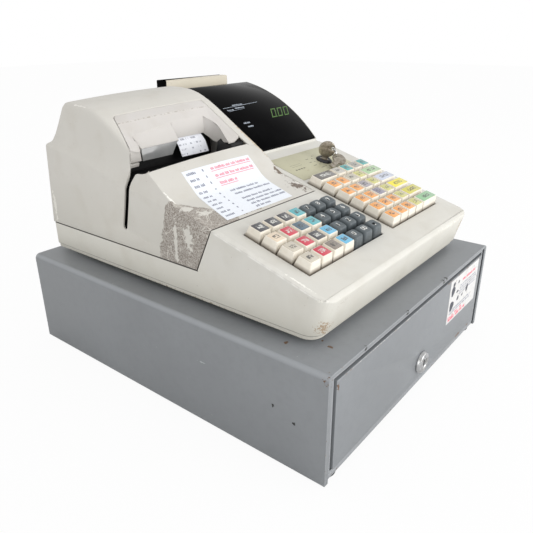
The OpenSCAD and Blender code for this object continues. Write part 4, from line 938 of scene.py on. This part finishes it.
# ---------------------------------------------------------------- operator display
# Curved filter of gloss black acrylic in its seat in the hump. Behind it a green tube shows three
# digits; thin pale bars above and below stand for its printed captions.
gloss, tree, shader, at = material("display_gloss", 0.2, specular=0.015)
film = clouds(tree, at, 28.0, 0.45, 0.85)
tree.links.new(blend_colour(tree, film, shade((6, 6, 7)), shade((13, 13, 14))), shader.inputs["Base Color"])
tree.links.new(remap(tree, film, 0.0, 1.0, 0.07, 0.2), shader.inputs["Roughness"])
dressed("display_filter", gloss, 0.0006, 30)
dressed("customer_window", gloss, 0.0015, rounds=3)

f_point, k_point = Vector((31.3, deck_height(221.3))), Vector((154.5, 177.5))
chord = k_point - f_point
rest = math.sqrt(215.5**2 - chord.length_squared / 4)
arc_y, arc_z = (f_point + k_point) / 2 + rest * Vector((chord.y, -chord.x)) / chord.length
ARC = 0.2161


def on_filter(across, up, lift=0.00015):
    """A place on the curved filter: across in metres, up as an angle on the curve in radians"""
    r = ARC + lift
    return Vector((across, arc_y / 1000 + r * math.cos(up), arc_z / 1000 + DRAWER_TOP + r * math.sin(up)))


def glow_bars(name, bars, finish):
    """Flat strokes laid on the filter, each from corner to corner in (across, angle)"""
    verts, faces = [], []
    for quad in bars:
        base = len(verts)
        for lift in (-0.0002, 0.00018):
            verts += [on_filter(x, a, lift) for x, a in quad]
        faces += [(base + 4, base + 5, base + 6, base + 7), (base + 3, base + 2, base + 1, base)]
        faces += [(base + i, base + (i + 1) % 4, base + 4 + (i + 1) % 4, base + 4 + i) for i in range(4)]
    mesh = closed_mesh(name, verts, faces)
    return settle(name, mesh, finish, "register", smooth=20)


def zero(x, a, wide, tall, lean=0.12):
    """Six segments of a seven-segment nought, as leaning bars with shortened ends"""
    made, t = [], wide * 0.2
    h = tall / ARC

    def at_place(u, v):
        return (x + u * wide + lean * wide * v, a - v * h)

    for (u0, v0), (u1, v1) in (((0, 0), (1, 0)), ((0, 1), (1, 1)), ((0, 0), (0, 0.5)), ((0, 0.5), (0, 1)),
                               ((1, 0), (1, 0.5)), ((1, 0.5), (1, 1))):
        s, r = t / wide / 2, t / tall / 2
        if v0 == v1:
            made.append([at_place(u0 + s * 1.3, v0 - r), at_place(u1 - s * 1.3, v0 - r),
                         at_place(u1 - s * 1.3, v0 + r), at_place(u0 + s * 1.3, v0 + r)])
        else:
            made.append([at_place(u0 - s, v0 + r * 1.2), at_place(u0 + s, v0 + r * 1.2),
                         at_place(u0 + s, v1 - r * 1.2), at_place(u0 - s, v1 - r * 1.2)])
    return made


tube, tree, shader, at = material("tube_green", 0.3)
flicker = clouds(tree, at, 300.0, 0.2, 0.8)
tree.links.new(blend_colour(tree, flicker, shade((40, 72, 16)), shade((66, 106, 28))), shader.inputs["Base Color"])
tree.links.new(blend_colour(tree, flicker, shade((44, 76, 18)), shade((76, 118, 30))), shader.inputs["Emission Color"])
shader.inputs["Emission Strength"].default_value = 0.3
digits = []
for k in range(3):
    digits += zero(0.1130 + 0.0137 * k, 2.1250, 0.0080, -0.0142, -1.35)
digits.append([(0.1118, 2.1880), (0.1132, 2.1880), (0.1126, 2.1950), (0.1112, 2.1950)])
glow_bars("display_digits", digits, tube)
ink, tree, shader, at = material("caption_ink", 0.5)
worn = clouds(tree, at, 260.0, 0.3, 0.7)
tree.links.new(blend_colour(tree, worn, shade((132, 140, 152)), shade((176, 184, 194))), shader.inputs["Base Color"])
chance = random.Random(11)


def caption(low, high, a, tall):
    """A row of short bars that stands for one printed caption"""
    made, x = [], low
    while x < high:
        wide = chance.uniform(0.0011, 0.0021)
        made.append([(x, a - tall * chance.uniform(0.6, 1)), (x + wide, a - tall), (x + wide, a), (x, a)])
        x += wide + 0.0006
    return made


captions = [[(0.0330, 2.0505), (0.1040, 2.0345), (0.1040, 2.0375), (0.0330, 2.0535)]]
captions += caption(0.0540, 0.0720, 2.0390, 0.0105) + caption(0.0365, 0.0470, 2.0800, 0.0105)
captions += caption(0.0530, 0.0700, 2.0700, 0.0105) + caption(0.0415, 0.0520, 2.2030, 0.0110)
captions += caption(0.0440, 0.0530, 2.2320, 0.0105)
captions.append([(0.0365, 2.0860), (0.0690, 2.0765), (0.0690, 2.0780), (0.0365, 2.0875)])
glow_bars("display_captions", captions, ink)

# ---------------------------------------------------------------- mode panel
# Yellowed self-adhesive panel on the deck, with a dot for each place of the mode key round the
# lock and two plain rules.
DECK = Matrix.Translation((0, CASE_FRONT, 0.1599)) @ Matrix.Rotation(SLOPE, 4, "X")
panel_mat, tree, shader, at = material("panel_film", 0.42)
tone = clouds(tree, at, 22.0, 0.3, 0.75)
yellow = blend_colour(tree, tone, shade((192, 189, 162)), shade((183, 180, 152)))
soil = clouds(tree, at, 200.0, 0.62, 0.7)
soil = calc(tree, "MULTIPLY", soil, 0.4)
tree.links.new(blend_colour(tree, soil, yellow, shade((160, 150, 118))), shader.inputs["Base Color"])
roughen(tree, shader, at, 1500.0, 0.1)
dressed("mode_panel", panel_mat, 0.0001)
dressed("mode_lock", dark_trim, 0.0003, 30)


def strokes(name, rectangles, thick, finish, body, place):
    """Flat printed strokes, each as low and high x and y, standing thick above their base"""
    verts, faces = [], []
    for x0, y0, x1, y1 in rectangles:
        b = len(verts)
        verts += [(x, y, z) for z in (-0.0002, thick) for x, y in ((x0, y0), (x1, y0), (x1, y1), (x0, y1))]
        faces += [(b + 3, b + 2, b + 1, b), (b + 4, b + 5, b + 6, b + 7)]
        faces += [(b + i, b + (i + 1) % 4, b + 4 + (i + 1) % 4, b + 4 + i) for i in range(4)]
    mesh = bpy.data.meshes.new(name)
    mesh.from_pydata(verts, [], faces)
    return settle(name, mesh, finish, body, smooth=20, place=place)


grey_ink, tree, shader, at = material("panel_ink", 0.55)
worn = clouds(tree, at, 400.0, 0.3, 0.7)
tree.links.new(blend_colour(tree, worn, shade((104, 102, 88)), shade((138, 136, 116))), shader.inputs["Base Color"])
ticks = []
for degrees in (112, 140, 168, 196, 224, 252):
    turn = math.radians(degrees)
    x, y = 0.0985 + 0.0165 * math.cos(turn), 0.1782 + 0.0165 * math.sin(turn)
    ticks.append((x - 0.0008, y - 0.0008, x + 0.0008, y + 0.0008))
for x, y, wide in ((0.0735, 0.1895, 0.006), (0.0715, 0.1815, 0.005), (0.0700, 0.1735, 0.0065), (0.0755, 0.1655, 0.007)):
    ticks.append((x, y, x + wide, y + 0.0011))
ticks += [(0.036, 0.1860, 0.056, 0.1864), (0.036, 0.1825, 0.056, 0.1829)]
ticks += [(0.034 + 0.0052 * k, 0.1745, 0.0375 + 0.0052 * k, 0.1765) for k in range(4)]
strokes("mode_marks", ticks, 0.00055, grey_ink, "register", DECK)

# ---------------------------------------------------------------- keys of the mode lock
# Two stamped nickel keys on a split ring; one stands in the lock, the other leans on the panel.
nickel, tree, shader, at = material("key_nickel", 0.34, metal=1.0)
tarnish = clouds(tree, at, 260.0, 0.35, 0.7)
tree.links.new(blend_colour(tree, tarnish, shade((184, 177, 164)), shade((132, 122, 108))), shader.inputs["Base Color"])
tree.links.new(remap(tree, tarnish, 0.0, 1.0, 0.28, 0.5), shader.inputs["Roughness"])
roughen(tree, shader, at, 900.0, 0.3)
dressed("mode_key", nickel, 0.00035, 30)
dressed("spare_key", nickel, 0.0003, 30)
dressed("key_ring", chrome, 0)

# ---------------------------------------------------------------- customer display
# Tan box on a mast in the hump's back, with a black window that faces away from the operator.
tan, tree, shader, at, colour = case_plastic("rear_abs", (206, 199, 182), (200, 192, 174), 0.2, 0.3)
tree.links.new(colour, shader.inputs["Base Color"])
dressed("customer_display", tan, 0.0018, rounds=3)

# ---------------------------------------------------------------- number keys
# Double-shot dark grey caps with a dished top, rounded all round, and white figures.


PITCH, KEYS_FRONT = 19.05, 34.5


def key_place(left, column, row, rows, wide=1):
    """Middle of a key on the deck, in metres"""
    return (left + (column + wide / 2) * PITCH) / 1000, (KEYS_FRONT + (rows - row + 0.5) * PITCH) / 1000


def cap(wide, deep, high, in_x, in_y, upright, crown, dish, skirt=0.003):
    """A hollow-looking key top: tapered block with rounded edges and a dished or flat top"""
    bm = bmesh.new()
    hx, hy = wide / 2, deep / 2
    rings = [[(-hx, -hy), (hx, -hy), (hx, hy), (-hx, hy)]] * 2
    rings = [(rings[0], -skirt), (rings[1], 0.0),
             ([(-hx + in_x, -hy + in_y), (hx - in_x, -hy + in_y), (hx - in_x, hy - in_y), (-hx + in_x, hy - in_y)], high)]
    layers = [[bm.verts.new((x, y, z)) for x, y in ring] for ring, z in rings]
    for a, b in zip(layers, layers[1:]):
        for i in range(4):
            bm.faces.new((a[i], a[(i + 1) % 4], b[(i + 1) % 4], b[i]))
    bm.faces.new(layers[0][::-1])
    top = bm.faces.new(layers[-1])
    stand = [e for e in bm.edges if abs(e.verts[0].co.z - e.verts[1].co.z) > 0.001]
    bmesh.ops.bevel(bm, geom=stand, offset=upright, offset_type="OFFSET", segments=4, profile=0.5,
                    affect="EDGES", clamp_overlap=True)
    rim = [e for e in bm.edges if min(v.co.z for v in e.verts) > high - 1e-6]
    bmesh.ops.bevel(bm, geom=rim, offset=crown, offset_type="OFFSET", segments=3, profile=0.5,
                    affect="EDGES", clamp_overlap=True)
    if dish:
        face = max((f for f in bm.faces if f.normal.z > 0.99), key=lambda f: f.calc_area())
        for depth in (0.18, 0.42, 0.68):
            bmesh.ops.inset_region(bm, faces=[face], thickness=0.0011, depth=0)
            for v in face.verts:
                v.co.z = high - dish * (1 - (1 - depth) ** 2)
    return bm


def cast(bm, name):
    mesh = bpy.data.meshes.new(name)
    bmesh.ops.recalc_face_normals(bm, faces=bm.faces)
    bm.to_mesh(mesh)
    bm.free()
    return mesh


def with_stem(bm):
    """The square stem that goes down through the keyboard plate"""
    made = bmesh.ops.create_cube(bm, size=1.0)["verts"]
    for v in made:
        v.co = Vector((v.co.x * 0.0044, v.co.y * 0.0044, -0.007 + v.co.z * 0.0081))
    return bm


slate, tree, shader, at = material("number_cap", 0.44)
tone = clouds(tree, at, 60.0, 0.3, 0.7)
dust = clouds(tree, at, 330.0, 0.55, 0.8)
dust = calc(tree, "MULTIPLY", dust, 0.35)
base = blend_colour(tree, tone, shade((80, 88, 92)), shade((90, 98, 102)))
# Painted shade: each cap darkens towards its foot, where the keys shade each other
low = remap(tree, wire(tree, "ShaderNodeSeparateXYZ", at).outputs[2], 0.0, 0.008, 0.7, 0.0)
base = blend_colour(tree, low, base, shade((40, 43, 45)))
tree.links.new(blend_colour(tree, dust, base, shade((128, 130, 128))), shader.inputs["Base Color"])
roughen(tree, shader, at, 2000.0, 0.2)
figure_ink = moulded("figure_white", (226, 226, 222), 0.4, 0.05)
LEFT_KEYS, RIGHT_KEYS = -134.5, 20.0
for node, sign, column, row in (
    ("key_7", "7", 4, 1), ("key_8", "8", 5, 1), ("key_9", "9", 6, 1),
    ("key_4", "4", 4, 2), ("key_5", "5", 5, 2), ("key_6", "6", 6, 2),
    ("key_1", "1", 4, 3), ("key_2", "2", 5, 3), ("key_3", "3", 6, 3),
    ("key_0", "0", 4, 4), ("key_00", "00", 5, 4), ("key_point", ".", 6, 4),
):
    x, y = key_place(LEFT_KEYS, column, row, 4)
    spot_here = DECK @ Matrix.Translation((x, y, 0))
    mesh = cast(with_stem(cap(0.0178, 0.0178, 0.0102, 0.0018, 0.0024, 0.0032, 0.0017, 0.0007)), node + "_cap")
    settle(node + "_piece", mesh, slate, node, (node,), 50, spot_here)
    words = bpy.data.curves.new(node + "_figure", "FONT")
    words.body = sign
    words.size = 0.0086 if sign != "." else 0.013
    words.offset = -0.00005
    words.align_x, words.align_y = "CENTER", "CENTER"
    words.extrude = 0.0002
    words.space_character = 0.92
    label = bpy.data.objects.new(node + "_figure", words)
    bpy.context.scene.collection.objects.link(label)
    label.matrix_world = spot_here @ Matrix.Translation((0, 0.0006 if sign != "." else 0.001, 0.0097))
    words.materials.append(figure_ink)
    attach(label, node)

# ---------------------------------------------------------------- function keys
# Cream caps, each with a coloured card under a clear lid that snaps over its flat top. Broken
# marks, others on each card, stand for the printed legends.
cream, tree, shader, at = material("function_cap", 0.38)
tone = clouds(tree, at, 45.0, 0.3, 0.7)
dirt = clouds(tree, at, 160.0, 0.55, 0.85)
dirt = calc(tree, "MULTIPLY", dirt, 0.3)
base = blend_colour(tree, tone, shade((237, 231, 219)), shade((228, 221, 207)))
base = blend_colour(tree, dirt, base, shade((190, 176, 150)))
# Painted shade: each cap darkens towards its foot, where the keys shade each other
low = remap(tree, wire(tree, "ShaderNodeSeparateXYZ", at).outputs[2], 0.0, 0.0042, 0.85, 0.0)
tree.links.new(blend_colour(tree, low, base, shade((92, 80, 66))), shader.inputs["Base Color"])
roughen(tree, shader, at, 1600.0, 0.1)

cards = {
    "charcoal": (76, 76, 80), "teal": (96, 178, 186), "cream": (232, 214, 190), "red": (206, 66, 84),
    "slate": (88, 110, 124), "stone": (208, 200, 184), "sky": (110, 186, 222), "taupe": (142, 132, 122),
    "bark": (108, 104, 100), "silver": (196, 192, 182), "sea": (84, 168, 166), "ash": (170, 168, 160),
    "orange": (243, 168, 90), "olive": (210, 206, 128), "green": (176, 206, 162), "lavender": (164, 158, 166),
    "ice": (206, 212, 228), "sun": (244, 230, 70), "mustard": (214, 206, 92), "smoke": (196, 190, 172),
    "dusk": (140, 136, 152), "mint": (150, 196, 150),
}
card_mats = {}


def card_finish(tint):
    """Printed card under a glossy lid, with broken grey bars in its middle"""
    if tint in card_mats:
        return card_mats[tint]
    made, tree, shader, at = material("card_" + tint, 0.22, coat=0.35)
    local = tree.nodes["Texture Coordinate"].outputs["Generated"]
    part = wire(tree, "ShaderNodeSeparateXYZ", local).outputs
    colour = cards[tint]
    tone = clouds(tree, at, 80.0, 0.3, 0.7)
    base = blend_colour(tree, tone, shade(colour), shade([c * 0.94 for c in colour]))
    rows = calc(tree, "SUBTRACT", part[1], 0.5)
    rows = calc(tree, "ABSOLUTE", rows)
    rows = remap(tree, rows, 0.19, 0.22, 1.0, 0.0)
    middle = calc(tree, "SUBTRACT", part[0], 0.5)
    middle = calc(tree, "ABSOLUTE", middle)
    middle = remap(tree, middle, 0.27, 0.3, 1.0, 0.0)
    own = calc(tree, "MULTIPLY", tree.nodes.new("ShaderNodeObjectInfo").outputs["Random"], 3.7)
    own = wire(tree, "ShaderNodeVectorMath", at, own, op="ADD").outputs[0]
    letters = wire(tree, "ShaderNodeTexNoise", Vector=own, Scale=560.0, Detail=1.0).outputs[0]
    letters = remap(tree, letters, 0.47, 0.51)
    mark = calc(tree, "MULTIPLY", rows, middle)
    mark = calc(tree, "MULTIPLY", mark, letters)
    dark = sum(colour) < 320
    mark = calc(tree, "MULTIPLY", mark, 0.88)
    ink_tint = (214, 214, 208) if dark or tint == "red" else (70, 68, 66)
    tree.links.new(blend_colour(tree, mark, base, shade(ink_tint)), shader.inputs["Base Color"])
    card_mats[tint] = made
    return made


def function_row(node, left, rows, row, tints, widths):
    """One row of function keys: caps as one piece, and a card on each"""
    whole, column = bmesh.new(), 0
    for index, (tint, wide) in enumerate(zip(tints, widths)):
        x, y = key_place(left, column, row, rows, wide)
        column += wide
        w = wide * 0.01905 - 0.00115
        one = with_stem(cap(w, 0.0179, 0.0100, 0.0014, 0.0019, 0.0011, 0.0006, 0))
        mesh = cast(one, "one_cap")
        mesh.transform(Matrix.Translation((x, y, 0)))
        whole.from_mesh(mesh)
        bpy.data.meshes.remove(mesh)
        card = bmesh.new()
        made = bmesh.ops.create_cube(card, size=1.0)["verts"]
        for v in made:
            v.co = Vector((v.co.x * (w - 0.0045), v.co.y * 0.0123, 0.0100 + v.co.z * 0.0008))
        upright = [e for e in card.edges if abs(e.verts[0].co.z - e.verts[1].co.z) > 0.0005]
        bmesh.ops.bevel(card, geom=upright, offset=0.0007, offset_type="OFFSET", segments=3, profile=0.5, affect="EDGES")
        lid = [e for e in card.edges if min(v.co.z for v in e.verts) > 0.0103]
        bmesh.ops.bevel(card, geom=lid, offset=0.0002, offset_type="OFFSET", segments=2, profile=0.5, affect="EDGES")
        settle(f"{node}_card_{index + 1}", cast(card, "card"), card_finish(tint), node,
               smooth=40, place=DECK @ Matrix.Translation((x, y, 0)))
    mesh = bpy.data.meshes.new(node + "_caps")
    whole.to_mesh(mesh)
    whole.free()
    settle(node + "_piece", mesh, cream, node, (node,), 45, DECK)


for row, tints in enumerate((
    ("charcoal", "charcoal", "charcoal", "teal"), ("cream", "red", "slate", "teal"),
    ("stone", "red", "charcoal", "sky"), ("stone", "red", "taupe", "sky"),
), 1):
    function_row(f"left_keys_row_{row}", LEFT_KEYS, 4, row, tints, (1, 1, 1, 1))
for row, (tints, widths) in enumerate((
    (("bark", "silver", "sea", "ash", "sea"), (2, 1, 1, 1, 1)),
    (("orange", "orange", "smoke", "olive", "green"), (1, 1, 1, 1, 2)),
    (("orange", "orange", "lavender", "olive", "ice"), (1, 1, 1, 1, 2)),
    (("orange", "orange", "dusk", "olive", "sun"), (1, 1, 1, 1, 2)),
    (("orange", "orange", "orange", "olive", "mustard"), (1, 1, 1, 1, 2)),
    (("orange", "orange", "orange", "olive", "mint"), (1, 1, 1, 1, 2)),
), 1):
    function_row(f"right_keys_row_{row}", RIGHT_KEYS, 6, row, tints, widths)

# ---------------------------------------------------------------- note on the ramp
# Printed sheet of copier paper that lies on the cover's ramp. The tape that held it isn't made.
# Its text is replaced by rows of short bars: three red ones with a rule, the others dark.
NOTE = [Vector(p) for p in ((-117.0, 13.0), (-17.0, 10.0), (-25.0, -59.0), (-129.0, -59.0))]


def on_note(u, v, lift):
    """A place on the note: u from left to right, v from its top edge down, lift in mm"""
    x, y = (NOTE[0] * (1 - u) + NOTE[1] * u) * (1 - v) + (NOTE[3] * (1 - u) + NOTE[2] * u) * v
    return Vector((x / 1000, y / 1000, cover_surface(x / 1000, y / 1000) + lift / 1000))


def laid(name, patches, place, low, high, finish, body):
    """Thin slabs that follow a surface: each patch is u0, v0, u1, v1 and its number of steps"""
    bm = bmesh.new()
    for u0, v0, u1, v1, steps in patches:
        skins = []
        for lift in (low, high):
            skins.append([[bm.verts.new(place(u0 + (u1 - u0) * i / steps, v0 + (v1 - v0) * j / steps, lift))
                           for i in range(steps + 1)] for j in range(steps + 1)])
        for j in range(steps):
            for i in range(steps):
                for g, turn in zip(skins, (-1, 1)):
                    bm.faces.new((g[j][i], g[j][i + 1], g[j + 1][i + 1], g[j + 1][i])[::turn])
        rim = [(0, i) for i in range(steps)] + [(j, steps) for j in range(steps)]
        rim += [(steps, i) for i in range(steps, 0, -1)] + [(j, 0) for j in range(steps, 0, -1)]
        for (j, i), (k, m) in zip(rim, rim[1:] + rim[:1]):
            bm.faces.new((skins[0][j][i], skins[0][k][m], skins[1][k][m], skins[1][j][i]))
    return settle(name, cast(bm, name), finish, body, smooth=40)


note_mat, tree, shader, at, colour = sheet_paper("copier_paper", (236, 240, 246))
tree.links.new(colour, shader.inputs["Base Color"])
laid("note_sheet", [(0, 0, 1, 1, 24)], on_note, 0.10, 0.24, note_mat, "printer_cover")


def word_row(u0, u1, v, tall, wide=0.011):
    """Short bars of uneven height in words, as u0, v0, u1, v1"""
    made, u, left = [], u0, chance.randint(3, 7)
    while u < u1:
        w = wide * chance.uniform(0.7, 1.15)
        made.append((u, v - tall * chance.uniform(0.65, 1.0), u + w, v, 1))
        u, left = u + w + wide * 0.45, left - 1
        if left == 0:
            u, left = u + wide * 1.1, chance.randint(3, 8)
    return made


def printed(name, colour):
    made, tree, shader, at = material(name, 0.6)
    worn = clouds(tree, at, 700.0, 0.35, 0.65)
    tree.links.new(blend_colour(tree, worn, shade(colour), shade([min(c + 34, 240) for c in colour])), shader.inputs["Base Color"])
    return made


red_print, grey_print, black_print = printed("red_print", (214, 112, 132)), printed("grey_print", (104, 108, 126)), printed("black_print", (52, 54, 62))
red_rows = [bar for u1, v in ((0.975, 0.085), (0.955, 0.195), (0.62, 0.305)) for bar in word_row(0.37, u1, v, 0.042, 0.013)]
red_rows += [(0.36, v + 0.016, u1, v + 0.024, 6) for u1, v in ((0.97, 0.085), (0.955, 0.195), (0.62, 0.305))]
laid("note_red_rows", red_rows, on_note, 0.2, 0.30, red_print, "printer_cover")
grey_rows = [bar for u0, u1, v in ((0.41, 0.84, 0.47), (0.42, 0.97, 0.56), (0.43, 0.90, 0.70), (0.44, 0.985, 0.785),
                                   (0.45, 0.98, 0.87), (0.46, 0.68, 0.955)) for bar in word_row(u0, u1, v, 0.042, 0.013)]
for k in range(10):
    grey_rows += word_row(0.035, 0.13 + 0.05 * chance.random(), 0.075 + 0.0955 * k, 0.040, 0.013)
    grey_rows += word_row(0.255, 0.27, 0.075 + 0.0955 * k, 0.034, 0.018)
laid("note_grey_rows", grey_rows, on_note, 0.2, 0.29, grey_print, "printer_cover")

# ---------------------------------------------------------------- label on the drawer front
# Paper label, a little scuffed, stuck on the right half of the panel. Its pictures and words are
# replaced by plain dark blobs and bars.
LABEL = (0.070, 0.0485, 0.159, 0.103)


def on_label(u, v, lift):
    x0, z0, x1, z1 = LABEL
    return Vector((x0 + (x1 - x0) * u, -0.21 - lift / 1000, z1 + (z0 - z1) * v))


label_mat, tree, shader, at, colour = sheet_paper("label_paper", (216, 215, 214))
soil = clouds(tree, at, 90.0, 0.52, 0.72)
soil = calc(tree, "MULTIPLY", soil, 0.4)
colour = blend_colour(tree, soil, colour, shade((186, 182, 176)))
worn = clouds(tree, at, 420.0, 0.66, 0.69)
tree.links.new(blend_colour(tree, worn, colour, shade((150, 138, 124))), shader.inputs["Base Color"])
laid("drawer_label", [(0, 0, 1, 1, 2)], on_label, -0.05, 0.14, label_mat, "drawer")
fine = [bar for k, u0 in enumerate((0.36, 0.34, 0.33, 0.34)) for bar in word_row(u0, 0.93, 0.30 + 0.062 * k, 0.03, 0.012)]
fine += [bar for k in range(2) for bar in word_row(0.06, 0.78, 0.745 + 0.06 * k, 0.035, 0.014)]
laid("label_fine_rows", fine, on_label, 0.1, 0.19, grey_print, "drawer")
bold = [bar for bar in word_row(0.42, 0.86, 0.205, 0.062, 0.022)]
bold += [bar for u0, u1 in ((0.05, 0.24), (0.30, 0.52), (0.57, 0.62)) for bar in word_row(u0, u1, 0.965, 0.075, 0.03)]
bold += [bar for bar in word_row(0.03, 0.2, 0.885, 0.03, 0.02)] + [(0.26, 0.84, 0.34, 0.875, 1), (0.44, 0.835, 0.5, 0.87, 1)]
laid("label_bold_rows", bold, on_label, 0.1, 0.19, printed("label_red", (214, 58, 84)), "drawer")


def blobs(name, places, finish):
    """Low rounded blobs on the label, each as u, v, width and height in mm, and lean"""
    bm = bmesh.new()
    for u, v, wide, tall, lean in places:
        start = on_label(u, v, 0)
        rings = []
        for lift, share in ((0.08, 1.0), (0.16, 1.0), (0.20, 0.9)):
            rings.append([])
            for k in range(20):
                a = math.tau * k / 20
                r = share * (1 + 0.1 * math.sin(3 * a + u * 9))
                dx, dz = wide / 2000 * r * math.cos(a), tall / 2000 * r * math.sin(a)
                rings[-1].append(bm.verts.new((start.x + dx + lean * dz, -0.21 - lift / 1000, start.z + dz)))
        for a, b in zip(rings, rings[1:]):
            for k in range(20):
                bm.faces.new((a[k], a[(k + 1) % 20], b[(k + 1) % 20], b[k]))
        bm.faces.new(rings[0][::-1])
        bm.faces.new(rings[-1])
    settle(name, cast(bm, name), finish, "drawer", smooth=40)


blobs("label_blobs", ((0.11, 0.28, 11, 12, 0.1), (0.12, 0.13, 7, 6, 0.2), (0.28, 0.15, 4, 4, 0.2), (0.27, 0.37, 7, 3, 0.1),
                      (0.11, 0.62, 12, 12, 0.1), (0.31, 0.55, 6, 6, 0.2), (0.47, 0.56, 4, 4, 0.3), (0.63, 0.50, 7, 9, 0.2)), black_print)
